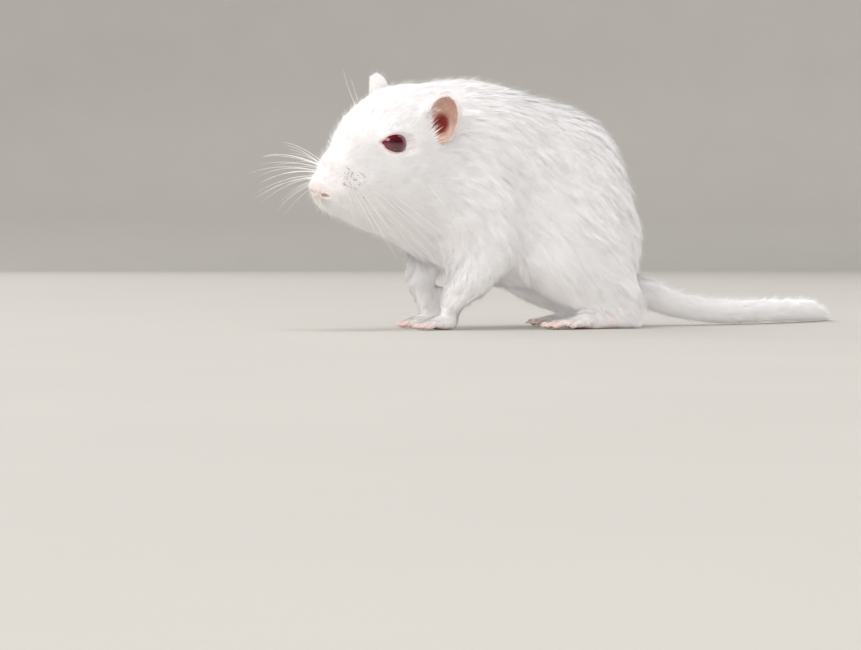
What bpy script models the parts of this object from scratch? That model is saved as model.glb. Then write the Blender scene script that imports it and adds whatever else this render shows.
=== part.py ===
"""A white Mongolian gerbil, life size, crouched on all fours with its head turned to its left.

The animal faces -Y, its left side is +X and the floor is Z = 0. Every size below is in millimetres and
gives the outside of the coat. The body is blocked in with rounded masses, as a sculptor would do it. Each
mass is a function giving the distance of any point from its surface, so that neighbours can be melted
into one another. The surface of the whole is then drawn once and parted into named pieces.
"""

import math

import bmesh
import bpy
import numpy as np
from mathutils import Matrix, Vector

MM = 0.001
SIDES = {"left": 1, "right": -1}

# Driving sizes
CUT = 0.3  # width of the cut between two neighbouring pieces
BODY_GRAIN = 0.8  # fineness with which the body's surface is drawn, before it is thinned out
FOOT_GRAIN = 0.35
EAR_GRAIN = 0.35
TAIL_LENGTH = 98
TAIL_CURL = 50  # degrees that the tail bends towards the animal's right along its length
EYE_RADIUS = 3.7
EAR_HEIGHT = 13.8
EAR_WIDTH = 8.8
EAR_DEPTH = 7
EAR_WALL = 0.9
FORE_STEP = {"left": 0, "right": 4}  # how far each forefoot stands behind the left one
HIND_STEP = {"left": 0, "right": 11}

# Triangles that each kind of piece is thinned to before it is cut
BODY_FACES = 3000
FOREFOOT_FACES = 400
HINDFOOT_FACES = 480
EAR_FACES = 280

# The head is modelled about the tip of the nose: X to its left, Y backwards, Z up.
NOSE_TIP = Vector((8.6, -52.4, 33.4))
HEAD_TURN = 18  # degrees to the left of the trunk's own direction
HEAD_TILT = 12  # degrees that the left cheek is held lower than the right
EYE_CENTRE = Vector((7.2, 15.6, 11.9))
EAR_CENTRE = Vector((12.2, 26, 19))
EAR_SWING = 42  # degrees that the hollow of the ear looks outwards from straight ahead
EAR_LEAN = 8  # degrees that the ear leans outwards


def head_frame():
    """From the head's own axes to the animal's."""
    turn = Matrix.Rotation(math.radians(HEAD_TURN), 4, "Z")
    tilt = Matrix.Rotation(math.radians(HEAD_TILT), 4, "Y")
    return Matrix.Translation(NOSE_TIP) @ turn @ tilt


# Masses: each returns a function from an array of points to their distances from the mass's surface


def ball(centre, radii, lean=0.0, splay=0.0):
    """An ellipsoid. lean raises its front end and splay turns it about Z, in degrees."""
    turn = Matrix.Rotation(math.radians(splay), 3, "Z") @ Matrix.Rotation(math.radians(lean), 3, "X")
    turn = np.array(turn)
    radii = np.array(radii)

    def distance(points):
        local = (points - np.array(centre)) @ turn / radii
        far = np.maximum(np.linalg.norm(local, axis=1), 1e-6)
        steepness = np.maximum(np.linalg.norm(local / radii, axis=1), 1e-6)
        return far * (far - 1) / steepness

    return distance


def limb(joints, radii):
    """A round limb through the joints, with a radius at each."""
    joints = np.array([tuple(joint) for joint in joints])

    def distance(points):
        nearest = np.full(len(points), np.inf)
        for start, end, start_radius, end_radius in zip(joints, joints[1:], radii, radii[1:]):
            along = end - start
            share = np.clip((points - start) @ along / (along @ along), 0, 1)
            off = np.linalg.norm(points - start - share[:, None] * along, axis=1)
            nearest = np.minimum(nearest, off - start_radius - share * (end_radius - start_radius))
        return nearest

    return distance


def melt(softness, *masses):
    """Several masses as one, run together over about this many millimetres."""

    def distance(points):
        total = np.full(len(points), -np.inf)
        for mass in masses:
            total = np.logaddexp(total, -mass(points) / softness)
        return -softness * total

    return distance


def common(*masses):
    """What all the masses share."""
    return lambda points: np.max([mass(points) for mass in masses], axis=0)


def outside(mass):
    return lambda points: -mass(points)


def grown(mass, amount):
    return lambda points: mass(points) - amount


def placed(mass, frame):
    """The mass moved by a rigid frame."""
    back = np.array(frame.inverted())
    return lambda points: mass(points @ back[:3, :3].T + back[:3, 3])


def mirrored(point, side):
    return (point[0] * SIDES[side], point[1], point[2])


# Drawing a surface


def net(mass, low, high, grain):
    """A mesh of squares over the mass's surface: a corner in each cell of a grid that it crosses."""
    axes = [np.arange(start, stop, grain) for start, stop in zip(low, high)]
    grid = np.stack(np.meshgrid(*axes, indexing="ij"), axis=-1)
    inside = (mass(grid.reshape(-1, 3)) < 0).reshape(grid.shape[:3])
    inside = np.pad(inside[1:-1, 1:-1, 1:-1], 1)
    numbers = {}
    corners = []
    faces = []
    around = ((0, 0), (-1, 0), (-1, -1), (0, -1))
    for axis in range(3):
        first, second = (axis + 1) % 3, (axis + 2) % 3
        ahead = np.roll(inside, -1, axis)
        for cell in np.argwhere(inside != ahead):
            face = []
            for step_first, step_second in around:
                key = cell.copy()
                key[first] += step_first
                key[second] += step_second
                key = tuple(int(part) for part in key)
                if key not in numbers:
                    numbers[key] = len(corners)
                    corners.append(key)
                face.append(numbers[key])
            faces.append(face if inside[tuple(cell)] else face[::-1])
    points = (np.array(corners) + 0.5) * grain + np.array([start[0] for start in axes])
    return points, faces


def settle(points, mass, reach):
    """Moves the points onto the mass's surface, along its steepest slope."""
    for _ in range(4):
        here = mass(points)
        slope = np.stack([mass(points + step) - here for step in np.eye(3) * 0.02], axis=1) / 0.02
        move = here[:, None] * slope / np.maximum((slope**2).sum(axis=1, keepdims=True), 0.05)
        length = np.linalg.norm(move, axis=1, keepdims=True)
        points = points - move * np.minimum(1, reach / np.maximum(length, 1e-9))
    return points


def surface(name, mass, low, high, grain):
    """A closed object over the mass's surface inside the box from low to high, evenly meshed."""
    points, faces = net(mass, low, high, grain)
    data = bpy.data.meshes.new(name)
    data.from_pydata((settle(points, mass, grain) * MM).tolist(), [], faces)
    thing = bpy.data.objects.new(name, data)
    bpy.context.collection.objects.link(thing)
    remesh = thing.modifiers.new("even", "REMESH")
    remesh.mode = "VOXEL"
    remesh.voxel_size = grain * MM
    smooth = thing.modifiers.new("soften", "SMOOTH")
    smooth.iterations = 3
    applied(thing)
    even = np.empty(len(thing.data.vertices) * 3)
    thing.data.vertices.foreach_get("co", even)
    even = settle(even.reshape(-1, 3) / MM, mass, grain) * MM
    thing.data.vertices.foreach_set("co", even.ravel())
    thing.data.update()
    return thing


# Working on objects


def clear_scene():
    for old in list(bpy.data.objects):
        bpy.data.objects.remove(old, do_unlink=True)


def applied(thing):
    """Replaces the object's mesh by what its modifiers make of it."""
    bpy.context.view_layer.update()
    graph = bpy.context.evaluated_depsgraph_get()
    done = bpy.data.meshes.new_from_object(thing.evaluated_get(graph))
    thing.modifiers.clear()
    thing.data = done
    return thing


def thinned(thing, faces, weight=None):
    """Reduces the mesh to about this many triangles. weight(points) is high where more should stay."""
    modifier = thing.modifiers.new("thin", "DECIMATE")
    count = sum(len(polygon.vertices) - 2 for polygon in thing.data.polygons)
    modifier.ratio = min(1, faces / count)
    modifier.use_collapse_triangulate = True
    if weight:
        group = thing.vertex_groups.new(name="keep")
        for vertex in thing.data.vertices:
            group.add([vertex.index], weight(vertex.co / MM), "REPLACE")
        modifier.vertex_group = group.name
        modifier.vertex_group_factor = 1
        modifier.invert_vertex_group = True
    applied(thing)
    thing.vertex_groups.clear()
    return thing


def combined(thing, other, operation):
    modifier = thing.modifiers.new(operation, "BOOLEAN")
    modifier.operation = operation
    modifier.object = other
    modifier.solver = "EXACT"
    return applied(thing)


def copied(thing, name):
    copy = thing.copy()
    copy.data = thing.data.copy()
    copy.name = name
    bpy.context.collection.objects.link(copy)
    return copy


def discarded(*things):
    for thing in things:
        bpy.data.objects.remove(thing)


def new_object(name, mesh):
    """An object from a bmesh in millimetres, which it frees."""
    data = bpy.data.meshes.new(name)
    mesh.to_mesh(data)
    mesh.free()
    data.transform(Matrix.Scale(MM, 4))
    made = bpy.data.objects.new(name, data)
    bpy.context.collection.objects.link(made)
    return made


def sliced(thing, point, normal):
    """Cuts away what lies on the side that the normal points to, and closes the cut with a flat face."""
    mesh = bmesh.new()
    mesh.from_mesh(thing.data)
    cut = bmesh.ops.bisect_plane(
        mesh,
        geom=mesh.verts[:] + mesh.edges[:] + mesh.faces[:],
        plane_co=Vector(point) * MM,
        plane_no=Vector(normal),
        clear_outer=True,
        dist=1e-7,
    )
    rim = [edge for edge in cut["geom_cut"] if isinstance(edge, bmesh.types.BMEdge)]
    bmesh.ops.holes_fill(mesh, edges=rim)
    bmesh.ops.triangulate(mesh, faces=mesh.faces[:])
    mesh.to_mesh(thing.data)
    mesh.free()
    return thing


# The body


def trunk():
    return melt(
        2.2,
        ball((0, 2, 36.8), (16, 26, 20.8), lean=-19),  # rib cage and belly
        ball((0, 13.6, 32), (16.8, 20.2, 22.5), lean=-14),  # loin and rump
        ball((0, -12, 40), (13.5, 15, 19), lean=-10),  # shoulders
        ball((0, -17.5, 28), (9.5, 9.5, 12)),  # breast
        ball((0, -1, 22), (11, 13, 12)),  # belly between the legs
        ball((0, 25.5, 15), (9.5, 8.5, 10)),  # seat, where the tail springs
    )


def neck():
    frame = head_frame()
    nape = limb([(0, -6, 44), (0.5, -15, 46), frame @ Vector((0, 27, 11))], [14.2, 13.4, 11.4])
    throat = limb([(0, -14.6, 30.8), frame @ Vector((0, 21.2, 1.1))], [12.9, 11.6])
    return melt(1.5, nape, throat)


def foreleg_line(side):
    """The joints of the foreleg from shoulder to wrist, and the radius at each."""
    step = FORE_STEP[side]
    if side == "left":
        arm = [(10.5, -9, 30), (11, -9, 20), (10.4, -13, 12.5), (9.2, -17.8, 6)]
        radii = [7, 7, 5.6, 3.2]
    else:
        arm = [(10.5, -10, 30), (10.5, -14, 20), (9.6, -17.4, 12.5), (9, -19.2, 6)]
        radii = [7, 5.2, 3.5, 2.9]
    arm[3:] = [(x, y + step, z) for x, y, z in arm[3:]]
    return [mirrored(joint, side) for joint in arm], radii


def shank_line(side):
    """The joints from the bent knee back to the heel, and the radius at each."""
    step = HIND_STEP[side]
    shank = [(12, 7 + step / 4, 18), (13.4, 17 + step / 2, 11), (14.2, 28.5 + step, 5.8)]
    shank = [(x - 0.25 * step * (18 - z) / 12, y, z) for x, y, z in shank]
    return [mirrored(joint, side) for joint in shank], [6.8, 6.2, 4.3]


def thigh(side):
    """The haunch, held out a little by the bent knee, and the shank folded under it."""
    step = HIND_STEP[side]
    haunch = ball(mirrored((11.3, 17 + step / 3, 21), side), (8.3, 16.5, 15.5), lean=12, splay=4 * SIDES[side])
    return melt(1.8, haunch, limb(*shank_line(side)))


def head():
    parts = [
        ball((0, 25, 12.9), (11.8, 13.6, 12.3), lean=8),  # brain case
        limb([(0, 3.2, 1.2), (0, 8, 5), (0, 15, 9.2), (0, 22, 11.6)], [2.9, 5.7, 8.9, 11]),  # face
        ball((0, 11.5, -2.8), (4.4, 8.2, 4.1), lean=6),  # lower jaw
    ]
    for sign in SIDES.values():
        parts += [
            ball((sign * 6.4, 21, 5.4), (6.2, 10.5, 8.4)),  # cheek
            ball((sign * 4.4, 12.5, 0.6), (3.9, 7.5, 5)),  # corner of the mouth
            ball((sign * 2.8, 5.8, -0.1), (2.8, 4.3, 3.5), lean=14),  # whisker pad
            ball((sign * 6.6, 17.2, 13.8), (3, 5.2, 3.2)),  # brow
        ]
    return placed(melt(1.0, *parts), head_frame())


def tail_point(share, height):
    """A point of the tail's middle line: it falls from the seat and then lies along the floor."""
    steps = 60
    place = Vector((0, 27, 0))
    for step in range(round(share * steps)):
        heading = math.radians(TAIL_CURL) * (step / steps) ** 1.4
        place += Vector((-math.sin(heading), math.cos(heading), 0)) * TAIL_LENGTH / steps
    drop = 8 * math.exp(-((share / 0.2) ** 2))
    return Vector((place.x, place.y, height + drop))


def tail_radius(share):
    """Thick at the root, nearly even along its length, and drawn out to a soft brush at the tip."""
    root = 1.6 * math.exp(-share / 0.1)
    tip = 2.4 * max(0, (share - 0.72) / 0.28) ** 2.2
    return 3.5 - 0.3 * share + root - tip


def tail():
    shares = [step / 24 for step in range(25)]
    radii = [tail_radius(share) for share in shares]
    return limb([tail_point(share, radius - 0.2) for share, radius in zip(shares, radii)], radii)


def body():
    """The whole animal without its feet, ears and eyes."""
    legs = [limb(*foreleg_line(side)) for side in SIDES] + [thigh(side) for side in SIDES]
    return melt(1.8, trunk(), neck(), head(), *legs, tail())


def flesh():
    """The body as one thinned surface, with small flats where it touches the floor."""
    thing = surface("flesh", body(), (-75, -58, -3), (26, 130, 66), BODY_GRAIN)
    thinned(thing, BODY_FACES, lambda point: 0.6 if (point.y < -20 and point.z > 20) or point.y > 40 else 0.4)
    return sliced(thing, (0, 0, 0), (0, 0, -1))


# Feet, in their own axes: heel at the origin, toes towards -Y, sole on the floor


def toe(root, tip, root_radius, claw):
    """A toe with an arched knuckle, and its claw joined on."""
    root, tip = Vector(root), Vector(tip)
    knuckle = root.lerp(tip, 0.5) + Vector((0, 0, 0.55))
    along = (tip - root).normalized()
    nail = tip + along * 0.5 + Vector((0, 0, 0.35))
    point = tip + Vector((along.x, along.y, 0)) * claw + Vector((0, 0, -0.25))
    return melt(
        0.15,
        limb([root, knuckle, tip], [root_radius, root_radius * 0.82, root_radius * 0.8]),
        limb([nail, point], [0.5, 0.27]),
    )


def forefoot():
    parts = [
        limb([(0, -1.2, 8.5), (0, -2, 4.4), (0, -3.2, 2.5)], [1.9, 2.1, 2.0]),  # wrist
        ball((0, -4.2, 1.6), (2.8, 3.5, 1.9)),  # palm
    ]
    for place, reach in ((-1.5, 9.4), (-0.5, 10.7), (0.5, 10.8), (1.5, 9.7)):
        parts.append(toe((place * 1.25, -5.8, 1.35), (place * 2.0, -reach, 0.78), 0.98, 1.7))
    return melt(0.35, *parts)


def hindfoot():
    parts = [
        limb([(0, -2.6, 7.5), (0, -2.6, 5), (0, -3, 3)], [1.8, 2.1, 2.5]),  # ankle
        limb([(0, -3, 2.4), (0, -9, 2.2), (0, -16, 2.0)], [2.5, 2.3, 2.4]),  # sole
        ball((0, -17.2, 1.7), (3.2, 3.6, 1.9)),  # ball of the foot
    ]
    for place, start, reach in ((-1, -19.2, 25.6), (0, -19.6, 26.6), (1, -19.2, 25.9)):
        parts.append(toe((place * 1.75, start, 1.4), (place * 2.3, -reach, 0.85), 1.08, 2.2))
    for place, start, reach in ((-1, -16.6, 21.2), (1, -17, 22.2)):
        parts.append(toe((place * 2.7, start, 1.3), (place * 4.1, -reach, 0.78), 0.95, 1.7))
    return melt(0.35, *parts)


def foot_frame(kind, side):
    """Where the heel stands and which way the toes point."""
    if kind == "fore":
        place, turn = (8.6, -15.2 + FORE_STEP[side], 0), 4
    else:
        place, turn = (15.4 - 0.4 * HIND_STEP[side], 31 + HIND_STEP[side], 0), 3
    swing = Matrix.Rotation(math.radians(turn * SIDES[side]), 4, "Z")
    return Matrix.Translation(mirrored(place, side)) @ swing


def foot_mass(kind, side):
    return placed(forefoot() if kind == "fore" else hindfoot(), foot_frame(kind, side))


def foot_box(kind, side):
    length = 14 if kind == "fore" else 31
    heel = foot_frame(kind, side).translation
    return heel + Vector((-8, -length, -1.5)), heel + Vector((8, 3.5, 12))


def foot(kind, side):
    """A foot on a small flat of its own."""
    low, high = foot_box(kind, side)
    thing = surface(kind + "foot_" + side, foot_mass(kind, side), low, high, FOOT_GRAIN)
    thinned(thing, FOREFOOT_FACES if kind == "fore" else HINDFOOT_FACES)
    return sliced(thing, (0, 0, 0), (0, 0, -1))


# Ears and eyes


def ear_mass(side):
    """A thin oval cup that looks forwards and outwards."""
    sign = SIDES[side]
    half = (EAR_WIDTH / 2, EAR_DEPTH / 2, EAR_HEIGHT / 2)
    hollow = tuple(radius - EAR_WALL for radius in half)
    cup = common(
        ball((0, 0, 0), half),
        outside(ball((0, -0.75 * EAR_WALL, 0), hollow)),
        outside(ball((0, -EAR_DEPTH * 0.8, 0), (EAR_WIDTH, EAR_DEPTH * 0.6, EAR_HEIGHT))),
    )
    swing = Matrix.Rotation(math.radians(sign * EAR_SWING), 4, "Z")
    lean = Matrix.Rotation(math.radians(sign * EAR_LEAN), 4, "Y")
    centre = Matrix.Translation(mirrored(EAR_CENTRE, side))
    return placed(cup, head_frame() @ centre @ lean @ swing)


def ear(side):
    centre = head_frame() @ Vector(mirrored(EAR_CENTRE, side))
    reach = Vector((10, 10, 10))
    shell = common(ear_mass(side), outside(grown(body(), CUT)))
    thing = surface("ear_" + side, shell, centre - reach, centre + reach, EAR_GRAIN)
    return thinned(thing, EAR_FACES)


def eye(side, extra=0.0):
    mesh = bmesh.new()
    centre = head_frame() @ Vector(mirrored(EYE_CENTRE, side))
    bmesh.ops.create_uvsphere(
        mesh, u_segments=14, v_segments=10, radius=EYE_RADIUS + extra, matrix=Matrix.Translation(centre)
    )
    bmesh.ops.triangulate(mesh, faces=mesh.faces[:])
    return new_object("eye_" + side, mesh)


# Parting the body


def swollen(thing, name, amount):
    """A copy of a convex object, with its surface moved outwards."""
    copy = copied(thing, name)
    modifier = copy.modifiers.new("swell", "DISPLACE")
    modifier.mid_level = 0
    modifier.strength = amount * MM
    return applied(copy)


def parted(thing, zone, low, high, name, grain=1.2, faces=150):
    """Takes the part of the object inside the zone out of it, as a new object with a cut round it."""
    inner = thinned(surface("inner", zone, low, high, grain), faces)
    outer = swollen(inner, "outer", CUT * 1.2)
    piece = combined(copied(thing, name), inner, "INTERSECT")
    combined(thing, outer, "DIFFERENCE")
    discarded(inner, outer)
    return piece


def cut_across(thing, point, normal, name):
    """Takes what lies beyond the plane, on the side that the normal points to, as a new object."""
    normal = Vector(normal).normalized()
    piece = sliced(copied(thing, name), Vector(point) + normal * CUT / 2, -normal)
    sliced(thing, Vector(point) - normal * CUT / 2, normal)
    return piece


def beyond_midline(side, distance):
    """A half space: everything further than this from the midline, on one side."""
    return lambda points: distance - points[:, 0] * SIDES[side]


def foreleg_zone(side):
    joints, radii = foreleg_line(side)
    return limb(joints[1:], [radius + 2 for radius in radii[1:]])


def thigh_zone(side):
    step = HIND_STEP[side]
    joints, radii = shank_line(side)
    haunch = ball(mirrored((14, 17 + step / 3, 19), side), (11, 18.5, 16.5), lean=8)
    whole = melt(0.8, haunch, limb(joints, [radius + 1.8 for radius in radii]))
    return common(whole, beyond_midline(side, 4.2))


def whole_animal():
    """Every piece of the animal, as objects."""
    trunk_piece = flesh()
    trunk_piece.name = "trunk"
    pieces = [trunk_piece]
    for side in SIDES:
        socket = eye(side, CUT)
        combined(trunk_piece, socket, "DIFFERENCE")
        discarded(socket)
        for kind in ("fore", "hind"):
            low, high = foot_box(kind, side)
            pocket = surface("pocket", grown(foot_mass(kind, side), CUT), low, high, FOOT_GRAIN)
            combined(trunk_piece, thinned(pocket, 220), "DIFFERENCE")
            discarded(pocket)
            pieces.append(foot(kind, side))
        pieces.append(ear(side))
        pieces.append(eye(side))
    low, high = (-40, -45, -4), (40, 60, 50)
    for side in SIDES:
        pieces.append(parted(trunk_piece, foreleg_zone(side), low, high, "foreleg_" + side))
        pieces.append(parted(trunk_piece, thigh_zone(side), low, high, "hindleg_" + side))
    neck_piece = cut_across(trunk_piece, (0, -11, 46), (0.16, -1, 0.42), "neck")
    pieces.append(neck_piece)
    pieces.append(cut_across(neck_piece, (1, -23, 44), (0.2, -1, 0.3), "head"))
    last = trunk_piece
    for name, share in (("tail_root", 0.13), ("tail_middle", 0.38), ("tail_end", 0.69)):
        here, ahead = tail_point(share, 3), tail_point(share + 0.05, 3)
        last = cut_across(last, here, ahead - here, name)
        pieces.append(last)
    return pieces


def finished(pieces):
    """Gives each piece a material, and stands the whole on its floor about the origin."""
    corners = [Vector(corner) for piece in pieces for corner in piece.bound_box]
    low = [min(corner[axis] for corner in corners) for axis in range(3)]
    high = [max(corner[axis] for corner in corners) for axis in range(3)]
    middle = Vector(((low[0] + high[0]) / 2, (low[1] + high[1]) / 2, low[2]))
    for piece in pieces:
        piece.data.transform(Matrix.Translation(-middle))
        for polygon in piece.data.polygons:
            polygon.use_smooth = True
        material = bpy.data.materials.new(piece.name)
        material.use_nodes = True
        shader = material.node_tree.nodes["Principled BSDF"]
        eyeball = piece.name.startswith("eye")
        colour = (0.12, 0.01, 0.015, 1) if eyeball else (0.85, 0.83, 0.8, 1)
        shader.inputs["Base Color"].default_value = colour
        shader.inputs["Roughness"].default_value = 0.05 if eyeball else 0.8
        piece.data.materials.clear()
        piece.data.materials.append(material)


if __name__ == "__main__":
    clear_scene()
    finished(whole_animal())
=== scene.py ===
"""A pink-eyed white gerbil as a life-size museum model: its skin, eyes, claws, whiskers and coat,
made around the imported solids, on a plain floor under soft studio light."""

import functools
import math

import bmesh
import bpy
import numpy as np
from bpy.props import FloatProperty, FloatVectorProperty, PointerProperty
from mathutils import Matrix, Vector
from mathutils.bvhtree import BVHTree
from mathutils.kdtree import KDTree


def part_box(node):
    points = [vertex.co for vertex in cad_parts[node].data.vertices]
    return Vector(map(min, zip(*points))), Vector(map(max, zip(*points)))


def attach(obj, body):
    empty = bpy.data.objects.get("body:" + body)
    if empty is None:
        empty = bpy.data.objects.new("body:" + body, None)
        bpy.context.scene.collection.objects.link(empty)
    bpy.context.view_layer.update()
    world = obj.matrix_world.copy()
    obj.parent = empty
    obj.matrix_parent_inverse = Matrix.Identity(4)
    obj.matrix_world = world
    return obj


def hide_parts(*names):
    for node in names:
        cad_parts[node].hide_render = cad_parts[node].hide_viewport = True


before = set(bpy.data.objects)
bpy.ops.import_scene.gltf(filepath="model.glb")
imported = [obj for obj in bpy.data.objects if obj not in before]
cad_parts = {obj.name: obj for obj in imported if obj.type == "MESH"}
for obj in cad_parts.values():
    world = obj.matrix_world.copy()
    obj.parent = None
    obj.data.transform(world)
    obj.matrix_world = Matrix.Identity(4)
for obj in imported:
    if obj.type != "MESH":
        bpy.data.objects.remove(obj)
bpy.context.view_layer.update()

bl_info = {
    "name": "White gerbil",
    "version": (1, 0, 0),
    "blender": (4, 5, 0),
    "location": "View3D > Sidebar > Gerbil",
    "description": "Skin, eyes, claws, whiskers and coat of a life-size white gerbil",
    "category": "Object",
}

MM = 0.001
SIDES = {"left": 1, "right": -1}  # which way along X each side is
KINDS = ("fore", "hind")
NODE_NAMES = sorted(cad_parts)
FLESH = [name for name in NODE_NAMES if not name.startswith("eye")]

# Sizes that the solids were drawn from, in millimetres and degrees. Head axes have their origin at
# the tip of the nose, with X to the animal's left, Y back and Z up.
HEAD_TURN = 18  # to the animal's left
HEAD_TILT = 12  # the left cheek is held lower than the right
EYE_CENTRE = Vector((7.2, 15.6, 11.9))
EYE_RADIUS = 3.7
NOSE_IN_SOURCE = Vector((8.6, -52.4, 33.4))
EAR_CENTRE = Vector((12.2, 26, 19))
EAR_SWING = 42  # how far the ear opens outwards from straight ahead
EAR_LEAN = 8  # how far it leans outwards
FORE_STEP = {"left": 0, "right": 4}  # how far each foot stands behind the left one
HIND_STEP = {"left": 0, "right": 11}
TAIL_LENGTH = 98
TAIL_CURL = 50  # how far the tail bends to the animal's right

# Sizes of the finished surfaces, in millimetres. Places are in head axes, and for the left side.
GAZE = Vector((0.92, -0.3, 0.24))  # where the eye looks
LID_LENGTH = 2.95  # half the opening between the eye's corners
LID_HEIGHT = 2.08  # half the opening between the upper and the lower lid
NOSTRIL = (2.35, 1.35, -1.3)
NOSTRIL_WAY = (0.98, 0.15, 0.12)  # its long axis
NOSTRIL_LENGTH = 0.75  # from its middle to each end
NOSE_FRONT = (0, -0.6, -1.2)  # the hair of the face runs away from here
EAR_CUP = (0, -0.4, 0), (3.9, 3.2, 6.6)  # middle and radii of the hollow, in the ear's axes
EAR_RIM = (4.4, 6.9)  # half the width and half the height of the ear
VOXEL = 0.3  # grain of the raw skin
SINK_STEPS = 20
SKIN_TRIANGLES = 125000  # before the face is refined
FLOOR_GAP = 0.02  # between the skin and the floor
WHISKER_ROWS = 5
WHISKERS_IN_ROW = 6
# the stubs are grey strands of painted shade among the whisker roots
STUBS = 44  # on each side of the muzzle
BROW_WHISKERS = (19, 16.5, 14), (20.5, 16.8, 10), (23, 4.5, 14)  # how far back, how high, and length
WIDE = 26  # past this distance from the frame's middle plane, the left side's whiskers turn in

# Each toe: its place across the foot, where it starts, how far its tip reaches, and how far apart the
# places are at the start and at the tip
TOES = {
    "fore": [
        (-1.5, -5.8, 9.4, 1.25, 2.0),
        (-0.5, -5.8, 10.7, 1.25, 2.0),
        (0.5, -5.8, 10.8, 1.25, 2.0),
        (1.5, -5.8, 9.7, 1.25, 2.0),
    ],
    "hind": [
        (-1, -19.2, 25.6, 1.75, 2.3),
        (0, -19.6, 26.6, 1.75, 2.3),
        (1, -19.2, 25.9, 1.75, 2.3),
        (-1, -16.6, 21.2, 2.7, 4.1),
        (1, -17, 22.2, 2.7, 4.1),
    ],
}
CLAW_LENGTH = {"fore": 1.5, "hind": 1.9}
CLAW_WIDTH = {"fore": 0.62, "hind": 0.75}

# The camera: degrees from straight ahead of the animal, degrees up, and the point it looks at, in metres
CAMERA_TURN = 65
CAMERA_RISE = 1.5
CAMERA_AIM = Vector((-0.000601, -0.047411, 0.000732))
LENS = 111.43
LIGHTS_AIM = Vector((0, -0.03, 0.03))


def linear(code):
    """An sRGB hex colour as linear RGBA."""
    parts = [int(code[start : start + 2], 16) / 255 for start in (1, 3, 5)]
    return [part / 12.92 if part <= 0.04045 else ((part + 0.055) / 1.055) ** 2.4 for part in parts] + [1]


# Where things are


def middle(node):
    """The middle of a solid's box, in millimetres."""
    low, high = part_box(node)
    return (Vector(low) + Vector(high)) / 2 / MM


def turned_head():
    """From the directions of the head axes to those of the row frame."""
    turn = Matrix.Rotation(math.radians(HEAD_TURN), 4, "Z")
    return turn @ Matrix.Rotation(math.radians(HEAD_TILT), 4, "Y")


def head_frame():
    """From head axes to the row frame, in millimetres."""
    between = (middle("eye_left") + middle("eye_right")) / 2
    nose = between - turned_head() @ Vector((0, EYE_CENTRE.y, EYE_CENTRE.z))
    return Matrix.Translation(nose) @ turned_head()


def source_shift():
    """From the axes in which the solids were drawn to the row frame."""
    return head_frame().translation - NOSE_IN_SOURCE


def mirrored(point, side):
    """The point as it is on this side, from its place on the left side."""
    return Vector((point[0] * SIDES[side], point[1], point[2]))


def foot_frame(kind, side):
    """The heel's place on the floor. The toes point towards the frame's -Y."""
    if kind == "fore":
        place, turn = (8.6, -15.2 + FORE_STEP[side], 0), 4
    else:
        place, turn = (15.4 - 0.4 * HIND_STEP[side], 31 + HIND_STEP[side], 0), 3
    swing = Matrix.Rotation(math.radians(turn * SIDES[side]), 4, "Z")
    return Matrix.Translation(source_shift() + mirrored(place, side)) @ swing


def ear_frame(side):
    """The middle of the ear's cup, which opens towards the frame's -Y, with its tip towards Z."""
    sign = SIDES[side]
    swing = Matrix.Rotation(math.radians(sign * EAR_SWING), 4, "Z")
    lean = Matrix.Rotation(math.radians(sign * EAR_LEAN), 4, "Y")
    return head_frame() @ Matrix.Translation(mirrored(EAR_CENTRE, side)) @ lean @ swing


def eye_frame(side):
    """The middle of the eyeball: Z is where it looks, X is towards the ear and Y is up."""
    out = (turned_head() @ mirrored(GAZE, side)).normalized()
    sunk = turned_head() @ mirrored((-0.35, 0, 0), side)
    upward = turned_head() @ Vector((0, 0.06, 1))
    up = (upward - out * out.dot(upward)).normalized()
    back = up.cross(out) * SIDES[side]
    axes = Matrix((back, up, out)).transposed().to_4x4()
    return Matrix.Translation(middle("eye_" + side) + sunk) @ axes


def tail_line(count=60):
    """The middle line of the tail, from its root to its tip."""
    place = np.array([0.0, 27.0, 0.0]) + np.array(source_shift())
    line = []
    for step in range(count + 1):
        # it comes down from the rump, and then lies on the floor by its own radius
        line.append(place + np.array([0, 0, 3.3 + 8 * math.exp(-((step / count / 0.2) ** 2))]))
        heading = math.radians(TAIL_CURL) * (step / count) ** 1.4
        place = place + np.array([-math.sin(heading), math.cos(heading), 0]) * TAIL_LENGTH / count
    return np.array(line)


def inside(frame_matrix, points):
    """The points in the axes of a rigid frame."""
    back = np.array(frame_matrix.inverted())
    return points @ back[:3, :3].T + back[:3, 3]


def ramp(values, start, stop, first, last):
    """From first to last, smoothly, as the values go from start to stop."""
    share = np.clip((values - start) / (stop - start), 0, 1)
    share = share * share * (3 - 2 * share)
    return first + (last - first) * share


def unit(vectors):
    return vectors / np.maximum(np.linalg.norm(vectors, axis=-1, keepdims=True), 1e-9)


def reach_in(points, centre, radii):
    """How far out the points are from the centre of an ellipsoid: 1 on its surface."""
    return np.linalg.norm((points - centre) / radii, axis=1)


def looking(direction):
    """The rotation of a light or a camera that looks this way."""
    return direction.to_track_quat("-Z", "Y").to_euler()


# Meshes as arrays, in millimetres


def points_of(mesh):
    flat = np.empty(len(mesh.vertices) * 3)
    mesh.vertices.foreach_get("co", flat)
    return flat.reshape(-1, 3) / MM


def normals_of(mesh):
    flat = np.empty(len(mesh.vertices) * 3)
    mesh.vertices.foreach_get("normal", flat)
    return flat.reshape(-1, 3)


def edges_of(mesh):
    flat = np.empty(len(mesh.edges) * 2, dtype=np.int32)
    mesh.edges.foreach_get("vertices", flat)
    return flat.reshape(-1, 2)


def place_points(mesh, points):
    mesh.vertices.foreach_set("co", (points * MM).ravel())
    mesh.update()


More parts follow.
